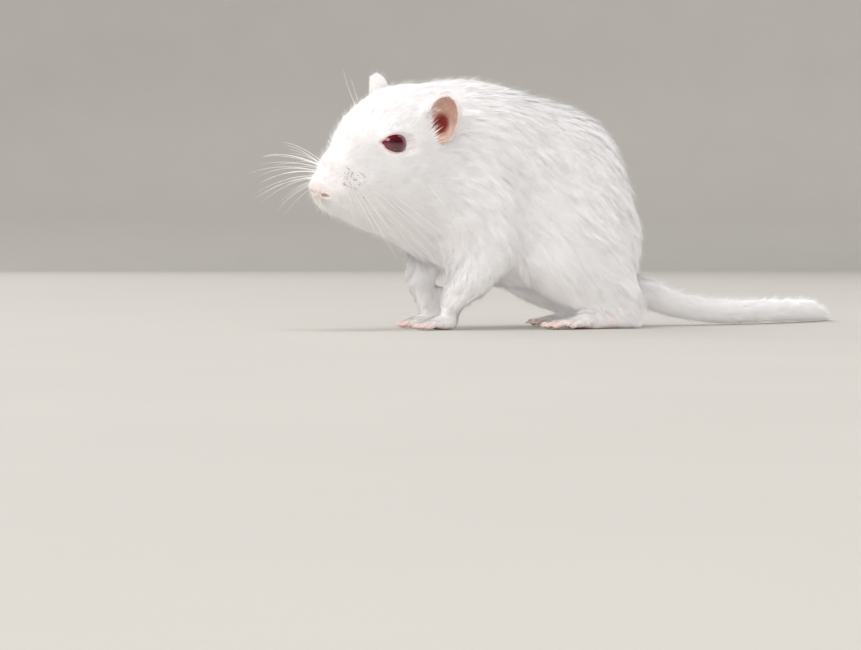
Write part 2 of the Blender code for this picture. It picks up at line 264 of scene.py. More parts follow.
def averaged(values, edges, rounds, share=0.5):
    """A field over the vertices, drawn towards its neighbours' mean. There may be a share for each."""
    values = np.array(values, dtype=float)
    flat = values.reshape(len(values), -1)
    first, second = edges[:, 0], edges[:, 1]
    count = np.maximum(np.bincount(edges.ravel(), minlength=len(flat)), 1)
    for _ in range(rounds):
        for column in flat.T:
            around = np.bincount(first, column[second], len(flat))
            around = around + np.bincount(second, column[first], len(flat))
            column += (around / count - column) * share
    return flat.reshape(values.shape)


def applied(thing):
    """Replaces the object's mesh by what its modifiers make of it."""
    bpy.context.view_layer.update()
    graph = bpy.context.evaluated_depsgraph_get()
    done = bpy.data.meshes.new_from_object(thing.evaluated_get(graph))
    thing.modifiers.clear()
    thing.data = done
    return thing


def new_object(name, data):
    thing = bpy.data.objects.new(name, data)
    bpy.context.scene.collection.objects.link(thing)
    return thing


def from_bmesh(name, mesh):
    """An object from a bmesh in millimetres, which it frees."""
    data = bpy.data.meshes.new(name)
    mesh.to_mesh(data)
    mesh.free()
    data.transform(Matrix.Scale(MM, 4))
    data.shade_smooth()
    return new_object(name, data)


def finished(thing, material, slot, *nodes):
    """Gives a piece its material, ties it to the body, and hides the solids it stands for. slot is not used.
    """
    thing.data.materials.clear()
    thing.data.materials.append(material)
    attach(thing, "root")
    if nodes:
        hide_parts(*nodes)
    return thing


# Materials


def node(tree, kind, links=(), **settings):
    """Adds a node. links are (its input, the socket that feeds it or the value it has), and settings are
    its properties."""
    made = tree.nodes.new("ShaderNode" + kind)
    for key, value in settings.items():
        setattr(made, key, value)
    feed(tree, made, links)
    return made


def feed(tree, made, links):
    """Feeds a node's inputs, from links as they are given to node."""
    for name, fed in links:
        if isinstance(fed, bpy.types.NodeSocket):
            tree.links.new(fed, socket(made, name))
        else:
            socket(made, name).default_value = fed


def socket(made, name, side="inputs"):
    """A node's input or output, by its identifier if it has one of that name, or by its name."""
    sockets = getattr(made, side)
    return next((each for each in sockets if each.identifier == name), None) or sockets[name]


def shader(name):
    """A new material with its tree and its Principled shader."""
    material = bpy.data.materials.new(name)
    material.use_nodes = True
    return material, material.node_tree, material.node_tree.nodes["Principled BSDF"]


def coat_material():
    """White guard hair: keratin without pigment, so it looks white by the light it scatters, with painted
    shade that makes it a little warm and darker down by the skin."""
    if "white hair" in bpy.data.materials:
        return bpy.data.materials["white hair"]
    settings = bpy.context.scene.gerbil_coat
    material, tree, surface = shader("white hair")
    along = node(tree, "Attribute", attribute_name="along")
    shade = node(tree, "Attribute", attribute_name="shade")
    # painted shade: the hair runs from a darker, warmer colour at its root, down by the skin, to white over
    # the first 55% of its length
    hair = node(tree, "ValToRGB", [("Fac", along.outputs["Fac"])])
    root, tip = hair.color_ramp.elements
    root.color, tip.color = list(settings.shaded_root_colour) + [1], list(settings.tip_colour) + [1]
    tip.position = 0.55
    place = node(tree, "TexCoord")
    # warm and cool patches about 12 mm across
    drift = node(tree, "TexNoise", [("Vector", place.outputs["Object"]), ("Scale", 80.0), ("Detail", 2.0)])
    tone = hair.outputs["Color"]
    for share, tint in ((drift, "#FBF9F8"), (shade, "#ECEAE9")):
        links = [("Factor_Float", share.outputs["Fac"]), ("A_Color", tone), ("B_Color", linear(tint))]
        mixed = node(tree, "Mix", links, data_type="RGBA", blend_type="MULTIPLY")
        tone = socket(mixed, "Result_Color", "outputs")
    finish = [("Base Color", tone), ("Roughness", 0.6), ("IOR", 1.55), ("Specular IOR Level", 0.2)]
    # the light that white hair passes on from hair to hair, past the few bounces of a render
    finish += [("Emission Color", tone), ("Emission Strength", 0.18)]
    feed(tree, surface, finish)
    return material


def skin_material():
    """Bare pink skin: thin, unpigmented, lit from within by blood, with a fine grain of pores."""
    material, tree, surface = shader("pink skin")
    tint = node(tree, "Attribute", attribute_name="tint")
    place = node(tree, "TexCoord")
    # mottling about 1.5 mm across
    mottle = node(tree, "TexNoise", [("Vector", place.outputs["Object"]), ("Scale", 650.0), ("Detail", 3.0)])
    tints = [("A_Color", tint.outputs["Color"]), ("B_Color", linear("#F8ECE8"))]
    links = [("Factor_Float", mottle.outputs["Fac"]), *tints]
    blush = node(tree, "Mix", links, data_type="RGBA", blend_type="MULTIPLY")
    # pores and creases about 0.25 mm apart
    links = [("Vector", place.outputs["Object"]), ("Scale", 4000.0), ("Detail", 2.0)]
    pores = node(tree, "TexNoise", links)
    bump = node(tree, "Bump", [("Height", pores.outputs["Fac"]), ("Strength", 0.35), ("Distance", 0.0001)])
    finish = [("Base Color", socket(blush, "Result_Color", "outputs")), ("Normal", bump.outputs["Normal"])]
    finish += [("Roughness", 0.48), ("IOR", 1.4), ("Subsurface Weight", 0.08), ("Subsurface Scale", 0.0012)]
    finish += [("Subsurface Radius", (1.0, 0.35, 0.25))]
    feed(tree, surface, finish)
    return material


def eye_material():
    """Wet cornea over an eye without pigment: a dark ruby ball, darkest at the pupil and at its edge."""
    settings = bpy.context.scene.gerbil_face
    material, tree, surface = shader("ruby eye")
    facing = node(tree, "Attribute", attribute_name="facing")
    rings = node(tree, "ValToRGB", [("Fac", facing.outputs["Fac"])])
    stops = rings.color_ramp.elements
    stops[0].color = [part * 0.35 for part in settings.eye_colour] + [1]
    stops[1].color = [part * 0.4 for part in settings.eye_colour] + [1]
    for position, strength in ((0.6, 0.6), (0.84, 0.95), (0.92, 0.8), (0.97, 0.5)):
        stop = stops.new(position)
        stop.color = [part * strength for part in settings.eye_colour] + [1]
    finish = [("Base Color", rings.outputs["Color"]), ("Roughness", 0.25), ("IOR", 1.38)]
    finish += [("Coat Weight", 1.0), ("Coat Roughness", 0.03), ("Coat IOR", 1.75)]
    feed(tree, surface, finish + [("Specular IOR Level", 0.25)])
    return material


def plain_material(name, base, tip, roughness, reach=1.0):
    """A keratin finish whose colour runs from the root's to the tip's over this share of the length."""
    material, tree, surface = shader(name)
    along = node(tree, "Attribute", attribute_name="along")
    colours = node(tree, "ValToRGB", [("Fac", along.outputs["Fac"])])
    first, last = colours.color_ramp.elements
    first.color, last.color = linear(base), linear(tip)
    last.position = reach
    feed(tree, surface, [("Base Color", colours.outputs["Color"]), ("Roughness", roughness), ("IOR", 1.55)])
    return material


# The skin


class Fields:
    """Where each point of a mesh is: which solid it is by, its place in head axes, how far it is from
    the eyes, and how deep it has to lie under the coat."""

    def __init__(self, points, edges):
        self.points = points
        self.edges = edges
        self.labels = nearest_nodes(points)
        self.head = inside(head_frame(), points)

    def on(self, *starts):
        """Which points are by a solid whose name starts like one of these."""
        numbers = [number for number, name in enumerate(NODE_NAMES) if name.startswith(starts)]
        return np.isin(self.labels, numbers)

    def by_node(self, table, default):
        """One value for each point, from the last start in the table that its solid's name has."""
        values = np.full(len(self.points), float(default))
        for start, value in table.items():
            values = np.where(self.on(start), value, values)
        return values

    def around_eye(self):
        """How far along the face each point is from the nearer eye's lids: below 0 inside them."""
        nearest = np.full(len(self.points), 50.0)
        for side in SIDES:
            nearest = np.minimum(nearest, lid_distance(side, self.points)[0])
        return nearest

    def depth(self):
        """How far the skin lies under the coat's outline."""
        back, up = self.head[:, 1], self.head[:, 2]
        on_head = ramp(back, 3, 13, 0.1, 0.7) + ramp(back, 14, 24, 0, 0.4)
        on_head *= ramp(self.around_eye(), 0, 4, 0.25, 1)
        on_head += 0.3 * np.exp(-(((back - 12) / 5) ** 2)) * ramp(up, 6, 10, 0, 1)
        height = self.points[:, 2]
        depths = {"trunk": 1.6, "neck": 1.4, "tail_root": 1.0, "tail_middle": 0.8, "tail_end": 0.9}
        depths |= {"head": on_head, "eye": 0.0}
        depths |= {"foreleg": ramp(height, 8, 26, 0.45, 1.4), "hindleg": ramp(height, 5, 20, 0.6, 1.6)}
        return self.by_node(depths, 0.1)


def tree_of_solids():
    """A search tree over the triangles of all the solids, and the solid of each triangle."""
    points, faces, owners = [], [], []
    for number, name in enumerate(NODE_NAMES):
        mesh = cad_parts[name].data
        start = len(points)
        points += [vertex.co / MM for vertex in mesh.vertices]
        for polygon in mesh.polygons:
            faces.append([start + corner for corner in polygon.vertices])
            owners.append(number)
    return BVHTree.FromPolygons(points, faces), np.array(owners)


def nearest_nodes(points):
    tree, owners = SOLIDS
    return owners[[tree.find_nearest(point)[2] for point in points.tolist()]]


SOLIDS = tree_of_solids()


def lid_border():
    """The lids' edge as angles: round the eye, and away from where it looks."""
    turns = np.linspace(-math.pi, math.pi, 241)
    # fuller towards the nose, with a small slit in the inner corner
    across = 0.2 + LID_LENGTH * np.cos(turns) - 0.42 * np.maximum(0, -np.cos(turns)) ** 120
    fullness = np.where(np.cos(turns) < 0, 1 - 0.3 * np.cos(turns) ** 2, 1.12)
    up = LID_HEIGHT * np.sign(np.sin(turns)) * np.abs(np.sin(turns)) ** fullness
    up += 0.05 * across
    round_eye = np.arctan2(up, across)
    away = np.arcsin(np.minimum(np.hypot(across, up) / EYE_RADIUS, 0.995))
    order = np.argsort(round_eye)
    return round_eye[order], away[order]


def lid_distance(side, points):
    """How far outside the lids' edge the points are, along the eyeball, their place in the eye's axes,
    and how far they are from its middle."""
    local = inside(eye_frame(side), points)
    reach = np.maximum(np.linalg.norm(local, axis=1), 1e-6)
    away = np.arccos(np.clip(local[:, 2] / reach, -1, 1))
    round_eye = np.arctan2(local[:, 1], local[:, 0])
    border = np.interp(round_eye, *lid_border(), period=2 * math.pi)
    along = (away - border) * EYE_RADIUS
    # far from the eyeball, the distance through the air counts too
    through_air = np.maximum(along, reach - EYE_RADIUS - 1)
    return np.where(reach > EYE_RADIUS + 2, through_air, along), local, reach


def scaled_down(matrix):
    """The same placing for a shape and a place in metres."""
    matrix = matrix.copy()
    matrix.translation *= MM
    return matrix


def raw_flesh():
    """All the solids as one even mesh, swollen enough to close the cuts between them."""
    whole = bmesh.new()
    for name in NODE_NAMES:
        part = bmesh.new()
        part.from_mesh(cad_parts[name].data)
        bmesh.ops.remove_doubles(part, verts=part.verts[:], dist=1e-6)
        part.normal_update()
        for vertex in part.verts:
            vertex.co += vertex.normal * (swelling(name) * MM)
        data = bpy.data.meshes.new("part")
        part.to_mesh(data)
        part.free()
        whole.from_mesh(data)
        bpy.data.meshes.remove(data)
    # the lobe at the back of the ear's mouth, and the fold in front of it
    lobes = ((1.9, 0.2, -4.6), (1.9, 1.5, 1.7), 20), ((-3.0, 0.3, -2.8), (0.9, 1.3, 3.4), 8)
    for side in SIDES:
        for place, size, lean in lobes:
            shape = Matrix.Rotation(math.radians(lean * SIDES[side]), 4, "Y")
            shape = shape @ Matrix.Diagonal((*size, 1))
            where = ear_frame(side) @ Matrix.Translation(mirrored(place, side)) @ shape
            bmesh.ops.create_icosphere(whole, subdivisions=3, radius=MM, matrix=scaled_down(where))
    data = bpy.data.meshes.new("skin")
    whole.to_mesh(data)
    whole.free()
    thing = new_object("skin", data)
    remesh = thing.modifiers.new("one skin", "REMESH")
    remesh.mode = "VOXEL"
    remesh.voxel_size = VOXEL * MM
    return applied(thing)


def swelling(name):
    """How far a solid is swollen, so that it meets its neighbours."""
    if name.startswith("eye"):
        return 0.0
    return 0.12 if name.startswith(("ear", "forefoot", "hindfoot")) else 0.25


def make_skin():
    thing = raw_flesh()
    mesh = thing.data
    edges = edges_of(mesh)
    points = points_of(mesh)
    fields = Fields(points, edges)
    # facets of the solids are smoothed away, over more rounds where the form is broad
    rounds = {"trunk": 90, "neck": 80, "head": 34, "tail": 60, "tail_end": 50}
    rounds |= {"foreleg": 50, "hindleg": 50, "ear": 10, "eye": 20}
    most = max(rounds.values())
    rounds = averaged(fields.by_node(rounds, 8), edges, 12)
    for turn in range(most):
        active = np.clip(rounds - turn, 0, 1)
        points = averaged(points, edges, 1, 0.5 * active)
        points = averaged(points, edges, 1, -0.52 * active)
    swell = np.array([swelling(name) for name in NODE_NAMES])[fields.labels]
    sink = averaged(fields.depth() + swell, edges, 60)
    # in small steps that round the ridges off, so that none of them folds over
    ease = 0.5 * np.clip(sink / 0.8, 0, 1)
    for _ in range(SINK_STEPS):
        place_points(mesh, points)
        outward = unit(averaged(normals_of(mesh), edges, 2, ease))
        points = averaged(points - outward * (sink / SINK_STEPS)[:, None], edges, 1, ease)
    place_points(mesh, points)
    thinned_skin(thing)
    refined_skin(thing)
    carved_face(thing)
    painted_skin(thing)
    thing.data.shade_smooth()
    return finished(thing, skin_material(), "fur", *FLESH)


def thinned_skin(thing):
    """Leaves the small triangles on the face, ears and feet, and larger ones under the long coat."""
    mesh = thing.data
    fields = Fields(points_of(mesh), edges_of(mesh))
    keep = {"head": 0.8, "eye": 1, "ear": 1, "forefoot": 0.85, "hindfoot": 0.85}
    keep = fields.by_node(keep, 0.15)
    keep[fields.on("head") & (fields.head[:, 1] > 19)] = 0.35
    keep = averaged(keep, fields.edges, 6)
    group = thing.vertex_groups.new(name="keep")
    levels = 20
    for level in range(levels + 1):
        chosen = np.flatnonzero(np.round(keep * levels) == level)
        group.add(chosen.tolist(), level / levels, "REPLACE")
    modifier = thing.modifiers.new("thin", "DECIMATE")
    modifier.ratio = SKIN_TRIANGLES / sum(len(polygon.vertices) - 2 for polygon in mesh.polygons)
    modifier.use_collapse_triangulate = True
    modifier.vertex_group = group.name
    modifier.vertex_group_factor = 1
    modifier.invert_vertex_group = True
    applied(thing)
    thing.vertex_groups.clear()
    # under the long coat, the facets of the solids are smoothed away
    mesh, points = thing.data, points_of(thing.data)
    edges = edges_of(mesh)
    broad = Fields(points, edges).on("trunk", "neck", "tail_root", "tail_middle", "hindleg")
    broad = np.clip(averaged(broad, edges, 3) * 1.4 - 0.4, 0, 1)
    for _ in range(14):
        points = averaged(averaged(points, edges, 1, 0.5 * broad), edges, 1, -0.51 * broad)
    place_points(mesh, points)


def refined_skin(thing):
    """Splits the triangles round the eyes, the nostrils and the mouth."""
    for reach_eye, reach_nose in ((1.6, 5.0), (0.9, 4.1)):
        mesh = thing.data
        points = points_of(mesh)
        near = np.zeros(len(points), dtype=bool)
        for side in SIDES:
            away, _, reach = lid_distance(side, points)
            near |= (np.abs(away) < reach_eye) & (reach < EYE_RADIUS + 1.5)
        near |= np.linalg.norm(inside(head_frame(), points) - (0, 1.6, -1.2), axis=1) < reach_nose
        finer = bmesh.new()
        finer.from_mesh(mesh)
        finer.verts.ensure_lookup_table()
        chosen = [edge for edge in finer.edges if near[edge.verts[0].index] and near[edge.verts[1].index]]
        bmesh.ops.subdivide_edges(finer, edges=chosen, cuts=1, use_grid_fill=True)
        bmesh.ops.triangulate(finer, faces=finer.faces[:])
        finer.to_mesh(mesh)
        finer.free()


def nostril_place(local, sign):
    """How far each point in head axes is along a nostril from its middle, and off to its side."""
    flip = np.array((sign, 1, 1))
    off = local - flip * NOSTRIL
    across = off @ unit(flip * NOSTRIL_WAY)
    return across, np.sqrt(np.maximum(np.linalg.norm(off, axis=1) ** 2 - across**2, 0))


def nostril_distance(local, sign):
    """How far each point in head axes is from the line down the middle of a nostril."""
    across, off = nostril_place(local, sign)
    return np.hypot(np.maximum(np.abs(across) - NOSTRIL_LENGTH, 0), off)


def carved_face(thing):
    """Opens the lids and the nostrils, and draws in the groove of the lip and the mouth."""
    mesh = thing.data
    points = points_of(mesh)
    for side in SIDES:
        away, local, reach = lid_distance(side, points)
        near = (reach < EYE_RADIUS + 3) & (away < 4)
        outer = np.maximum(reach, EYE_RADIUS + ramp(away, 0.5, 2.6, 0.1, -0.6))
        wanted = ramp(away, 0.08, 0.4, 0, 1)
        radius = (EYE_RADIUS - 0.9) * (1 - wanted) + outer * wanted
        matrix = np.array(eye_frame(side))
        moved = (local * (radius / reach)[:, None]) @ matrix[:3, :3].T + matrix[:3, 3]
        points[near] = moved[near]
    place_points(mesh, points)
    normals = normals_of(mesh)
    local = inside(head_frame(), points)
    push = np.zeros(len(points))
    for sign in SIDES.values():
        # a nostril is a comma that runs out and back, deepest at its ends
        across, off = nostril_place(local, sign)
        push -= 0.75 * np.exp(-((across / 1.0) ** 4) - (off / 0.36) ** 2)
        push -= 0.5 * np.exp(-(((np.abs(across) - 0.7) / 0.35) ** 2) - (off / 0.36) ** 2)
        push += 0.22 * np.exp(-((across / 1.2) ** 4) - ((off - 0.75) / 0.25) ** 2)
    front = ramp(local[:, 1], 2.0, 4.5, 1, 0)
    # the groove from between the nostrils to the lip
    push -= 0.3 * np.exp(-((local[:, 0] / 0.28) ** 2)) * ramp(local[:, 2], -3.6, -1.0, 1, 0.2) * front
    # the mouth runs back under the whisker pads
    line = -3.1 - 0.02 * (local[:, 1] - 3) ** 2 + 0.25 * np.abs(local[:, 0])
    mouth = np.exp(-(((local[:, 2] - line) / 0.35) ** 2)) * ramp(local[:, 1], 9, 12, 1, 0)
    push -= 0.1 * mouth * (local[:, 2] < 0)
    points = points + normals * push[:, None]
    near = (np.abs(push) > 0.01).astype(float)
    points = averaged(points, edges_of(mesh), 2, 0.3 * near)
    points[:, 2] = np.maximum(points[:, 2], FLOOR_GAP)
    place_points(mesh, points)


def ear_places(side, points, normals):
    """The points in the ear's axes, how much each faces the way the ear opens, and how far out it is in
    the ear's hollow and across the ear: 1 at the edge."""
    ear = inside(ear_frame(side), points)
    facing = normals @ -np.array(ear_frame(side).to_3x3())[:, 1]
    return ear, facing, reach_in(ear, *EAR_CUP), reach_in(ear[:, [0, 2]], 0, EAR_RIM)


def painted_skin(thing):
    """Colours the skin: pale under the coat, pink on the nose, lids and toes, dark with painted shade at the
    ends of the nostrils, and deep red in the ears, darkened with painted shade in their hollows.
    """
    mesh = thing.data
    points, normals = points_of(mesh), normals_of(mesh)
    fields = Fields(points, edges_of(mesh))
    settings = bpy.context.scene.gerbil_skin
    colour = np.tile(np.array(list(settings.covered_colour)), (len(points), 1))

    def laid(code, amount):
        nonlocal colour
        colour = colour + (np.array(linear(code)[:3]) - colour) * np.clip(amount, 0, 1)[:, None]

    nose = reach_in(fields.head, (0, 1.0, -1.6), (2.6, 2.0, 1.5))
    laid("#F5E2DE", ramp(nose, 0.7, 1.2, 1, 0))
    for sign in SIDES.values():
        across, off = nostril_place(fields.head, sign)
        # the nostril's own reddish skin along its line, and painted shadow, dark red-brown, at its two deep
        # ends
        laid("#C48379", ramp(nostril_distance(fields.head, sign), 0.3, 0.7, 0.95, 0))
        laid("#6A2B20", ramp(np.hypot(np.abs(across) - NOSTRIL_LENGTH, off), 0.25, 0.6, 0.95, 0))
    laid("#EBC2C0", ramp(np.abs(fields.around_eye()), 0.12, 0.4, 1, 0))
    for kind in KINDS:
        for side in SIDES:
            foot = inside(foot_frame(kind, side), points)
            mine = averaged(fields.on(kind + "foot_" + side), fields.edges, 4)
            start = -5 if kind == "fore" else -16
            laid("#FBF0EC", mine * 0.9)
            laid("#F2D2CD", mine * ramp(foot[:, 1], start - 5, start + 1, 0.8, 0))
            laid("#EABFB9", mine * ramp(foot[:, 2], 0.2, 1.1, 0.6, 0))
    for side in SIDES:
        ear, facing, cup, rim = ear_places(side, points, normals)
        mine = averaged(fields.on("ear_" + side), fields.edges, 2)
        laid("#FAEDE8", mine)
        within = np.maximum(mine * ramp(facing, 0.0, 0.5, 0, 1), (1 - mine) * ramp(cup, 0.85, 1.05, 1, 0))
        laid("#DDB9A9", within * np.where(mine > 0.5, ramp(rim, 0.78, 0.95, 1, 0), 1))
        # painted shade: the skin's own red, deepened to dark red-brown where the ear's hollow is deepest
        hollow = reach_in(ear, (SIDES[side] * -0.3, 1.2, -1.2), (2.2, 5, 3.0))
        laid("#842A1E", within * ramp(hollow, 0.6, 1.1, 1, 0))
    colour = averaged(colour, fields.edges, 1)
    attribute = mesh.color_attributes.new("tint", "FLOAT_COLOR", "POINT")
    rgba = np.concatenate([colour, np.ones((len(colour), 1))], axis=1)
    attribute.data.foreach_set("color", rgba.astype(np.float32).ravel())


# Strands: hair, whiskers and claws


def strand_pattern(sides, rings):
    """One pointed strand: a cone cut into rings. Gives each corner's turn and ring, and the faces."""
    mesh = bmesh.new()
    bmesh.ops.create_cone(
        mesh, cap_ends=True, cap_tris=False, segments=sides, radius1=1, radius2=0, depth=rings,
        matrix=Matrix.Translation((0, 0, rings / 2)),
    )
    bmesh.ops.remove_doubles(mesh, verts=mesh.verts[:], dist=1e-4)
    for ring in range(1, rings):
        everything = mesh.verts[:] + mesh.edges[:] + mesh.faces[:]
        bmesh.ops.bisect_plane(mesh, geom=everything, plane_co=(0, 0, ring), plane_no=(0, 0, 1))
    bmesh.ops.recalc_face_normals(mesh, faces=mesh.faces[:])
    mesh.verts.index_update()
    places = np.array([vertex.co for vertex in mesh.verts])
    faces = [[corner.vert.index for corner in face.loops] for face in mesh.faces]
    mesh.free()
    ring = np.round(places[:, 2]).astype(int)
    return unit(places[:, :2] + 1e-12), ring, faces


def strands(name, paths, across, thick, up, sides=3, roots=None, shade=None, facing=None):
    """One mesh of many strands. paths is strand by ring by 3 with the tip last, and across and thick are
    the widths at each ring, along and square to the surface whose direction outwards is up. roots are
    the strands' spots on the bake's map, and shade is one tone for each. Where facing is given, a
    strand takes light mostly as the surface under it does, which makes fur soft."""
    count, rings = paths.shape[0], paths.shape[1] - 1
    turn, ring, faces = strand_pattern(sides, rings)
    turn = -turn  # a three-sided strand lies with its flat side up, which keeps the coat even
    along = unit(np.gradient(paths, axis=1))
    side = unit(np.cross(up[:, None, :], along))
    out = np.cross(along, side)
    open_ring = (ring < rings)[:, None]
    corners = paths[:, ring]
    corners = corners + side[:, ring] * (turn[:, 0] * across[:, ring] / 2)[..., None] * open_ring
    corners = corners + out[:, ring] * (turn[:, 1] * thick[:, ring] / 2)[..., None] * open_ring
    corners[..., 2] = np.maximum(corners[..., 2], 0.03)  # nothing goes through the floor
    size = len(ring)
    loops = np.concatenate(faces)
    totals = np.array([len(face) for face in faces])
    data = bpy.data.meshes.new(name)
    data.vertices.add(count * size)
    data.vertices.foreach_set("co", (corners * MM).astype(np.float32).ravel())
    data.loops.add(count * len(loops))
    order = (np.arange(count)[:, None] * size + loops).ravel().astype(np.int32)
    data.loops.foreach_set("vertex_index", order)
    data.polygons.add(count * len(totals))
    starts = np.concatenate([[0], np.cumsum(np.tile(totals, count))[:-1]]).astype(np.int32)
    data.polygons.foreach_set("loop_start", starts)
    data.update(calc_edges=True)
    data.validate()
    data.shade_smooth()
    share = (ring / rings).astype(np.float32)
    add_values(data, "along", np.tile(share, count))
    if shade is not None:
        add_values(data, "shade", np.repeat(shade, size).astype(np.float32))
    if facing is not None:
        lit = facing[:, ring] * 0.9 + side[:, ring] * turn[:, :1] * 0.22
        lit = lit + out[:, ring] * turn[:, 1:] * 0.2
        data.normals_split_custom_set_from_vertices(unit(lit).reshape(-1, 3).tolist())
    if roots is not None:
        # each strand has its own small patch of the map, about its root's spot
        patch = turn[:, 0] * 0.0014 * (ring < rings), share * 0.0026 + turn[:, 1] * 0.0003
        spots = (roots[:, None, :] + np.stack(patch, axis=1)[None, :, :]).reshape(-1, 2)
        layer = data.uv_layers.new(name="OFBake")
        layer.data.foreach_set("uv", np.clip(spots[order], 0.0001, 0.9999).astype(np.float32).ravel())
    return new_object(name, data)


def add_values(data, name, values):
    attribute = data.attributes.new(name, "FLOAT", "POINT")
    attribute.data.foreach_set("value", values)


def unwrapped(points):
    """The points rolled out from a tube round their long axis, over the whole map."""
    centred = points - points.mean(axis=0)
    long_axis = np.linalg.eigh(centred.T @ centred)[1][:, -1]
    long_axis = long_axis * (1 if long_axis[np.argmax(np.abs(long_axis))] > 0 else -1)
    second = unit(np.cross(long_axis, (0, 0, 1) if abs(long_axis[2]) < 0.7 else (0, 1, 0)))
    third = np.cross(long_axis, second)
    first_across, second_across = centred @ second, centred @ third
    turn = np.arctan2(second_across, first_across)
    # the seam goes where there are fewest roots
    count, marks = np.histogram(turn, 72, (-math.pi, math.pi))
    seam = marks[np.argmin(count)] + math.pi / 72
    turn = (turn - seam) % (2 * math.pi)
    length = centred @ long_axis
    spread = [(part - part.min()) / max(np.ptp(part), 1e-9) for part in (turn, length)]
    return 0.003 + 0.991 * np.stack(spread, axis=1)


# The coat


class Hide:
    """The finished skin, as the coat needs it."""

    def __init__(self):
        mesh = bpy.data.objects["skin"].data
        mesh.calc_loop_triangles()
        flat = np.empty(len(mesh.loop_triangles) * 3, dtype=np.int32)
        mesh.loop_triangles.foreach_get("vertices", flat)
        self.triangles = flat.reshape(-1, 3)
        self.points, self.normals = points_of(mesh), normals_of(mesh)
        edges = edges_of(mesh)
        self.fields = Fields(self.points, edges)
        corners = self.points[self.triangles]
        edge_a, edge_b = corners[:, 1] - corners[:, 0], corners[:, 2] - corners[:, 0]
        self.areas = np.linalg.norm(np.cross(edge_a, edge_b), axis=1) / 2
        self.tree = BVHTree.FromPolygons(self.points.tolist(), self.triangles.tolist())
        self.lie = self.laid_hair()
        self.depth = averaged(self.fields.depth(), edges, 30)
        self.length = averaged(self.hair_length(), edges, 25)
        self.width = averaged(self.hair_width(), edges, 15)
        self.density = self.hair_density()

    def laid_hair(self):
        """Which way the hair lies, along the skin."""
        fields, normals = self.fields, self.normals
        lie = np.zeros((len(self.points), 3))
        # trunk: back along the spine, and steeply down over the flank, rump and breast
        fall = 0.12 + 1.05 * np.abs(normals[:, 0]) ** 1.2 + 1.4 * np.maximum(0, normals[:, 1])
        fall += 1.6 * np.maximum(0, -normals[:, 1])
        lie[:, 1] = 1
        lie[:, 2] = -fall * ramp(normals[:, 2], -0.95, -0.5, 0.3, 1)
        turn = np.array(turned_head().to_3x3())
        local = fields.head
        away = unit(local - NOSE_FRONT) + (0, 0.5, -0.05)
        beside = ramp(np.abs(local[:, 0]), 1.2, 3.5, 0, 1)
        away[:, 2] -= ramp(local[:, 2], -1, 6, 0.7, 0) * beside
        away[:, 2] -= ramp(local[:, 2], -1, 4, 1.1, 0) * ramp(local[:, 1], 5, 14, 1, 0) * beside
        on_head = fields.on("head", "eye")
        lie[on_head] = (away @ turn.T)[on_head]
        nape = fields.on("neck")
        lie[nape] = (unit(lie) + unit(away @ turn.T) * 0.8)[nape]
        # legs: down, and towards the heel
        legs = ("foreleg", 24, -0.1, 0.55, 1), ("hindleg", 20, 0.5, 0.95, 1.05)
        for start, top, low, high, fall in legs:
            mine = fields.on(start)
            back = ramp(self.points[mine, 2], 6, top, low, high)
            lie[mine] = np.stack([0 * back, back, 0 * back - fall], axis=1)
        # feet: towards the toes, and behind the hind heel back
        for kind in KINDS:
            for side in SIDES:
                foot = foot_frame(kind, side)
                toes = -np.array(foot.to_3x3())[:, 1]
                behind = -0.2 if kind == "hind" else 1
                forward = ramp(inside(foot, self.points)[:, 1], -16, -9, 1, behind)[:, None]
                mine = fields.on(kind + "foot_" + side)
                lie[mine] = (toes * forward + (0, 0, -0.35))[mine]
        line = tail_line()
        mine = np.flatnonzero(fields.on("tail"))
        nearest = np.argmin(np.linalg.norm(self.points[mine, None, :] - line[None, :-1], axis=2), axis=1)
        lie[mine] = unit(np.diff(line, axis=0))[nearest]
        for side in SIDES:
            lie[fields.on("ear_" + side)] = np.array(ear_frame(side).to_3x3())[:, 2]
        lie = unit(lie)
        for side in SIDES:
            # the hair parts round the lids
            away = lid_distance(side, self.points)[0]
            inward = np.array(eye_frame(side).translation) - self.points
            inward = unit(inward - normals * (inward * normals).sum(axis=1, keepdims=True))
            towards = (lie * inward).sum(axis=1)
            near = ramp(away, 0.4, 2.0, 1, 0)
            lie = unit(lie - inward * (near * (np.maximum(towards, 0) + 0.25))[:, None])
        for _ in range(10):
            lie = averaged(lie, fields.edges, 2)
            lie = unit(lie - normals * (lie * normals).sum(axis=1, keepdims=True))
        return lie

    def hair_length(self):
        fields = self.fields
        back, up = fields.head[:, 1], fields.head[:, 2]
        height = self.points[:, 2]
        on_head = ramp(back, 1, 10, 0.8, 2.2) + ramp(back, 10, 24, 0, 2.6) + ramp(up, -2, 6, 1.0, 0)
        on_head += ramp(up, -3, 2, 2.3, 0) * ramp(back, 2, 7, 0, 1)
        on_head *= ramp(fields.around_eye(), 0.1, 3.0, 0.4, 1)
        lengths = {"trunk": 7.0, "neck": 6.0, "tail_root": 4.0, "tail_middle": 3.0, "ear": 1.15}
        for side in SIDES:
            on_head *= ramp(ear_places(side, self.points, self.normals)[2], 1.0, 1.9, 0.3, 1)
            heel = inside(foot_frame("hind", side), self.points)[:, 1]
            lengths["hindfoot_" + side] = ramp(heel, -15, -8, 1.5, 5)
        lengths |= {"head": on_head, "eye": on_head, "foreleg": ramp(height, 8, 28, 2.0, 6)}
        lengths["hindleg"] = np.maximum(ramp(height, 5, 22, 2.4, 6.6), 4.5)
        # the brush grows longer towards the tip of the tail
        tip = np.linalg.norm(self.points - tail_line()[-1], axis=1)
        lengths["tail_end"] = 3.2 + ramp(tip, 2, 24, 4.0, 0)
        return fields.by_node(lengths, 1.5) * bpy.context.scene.gerbil_coat.length

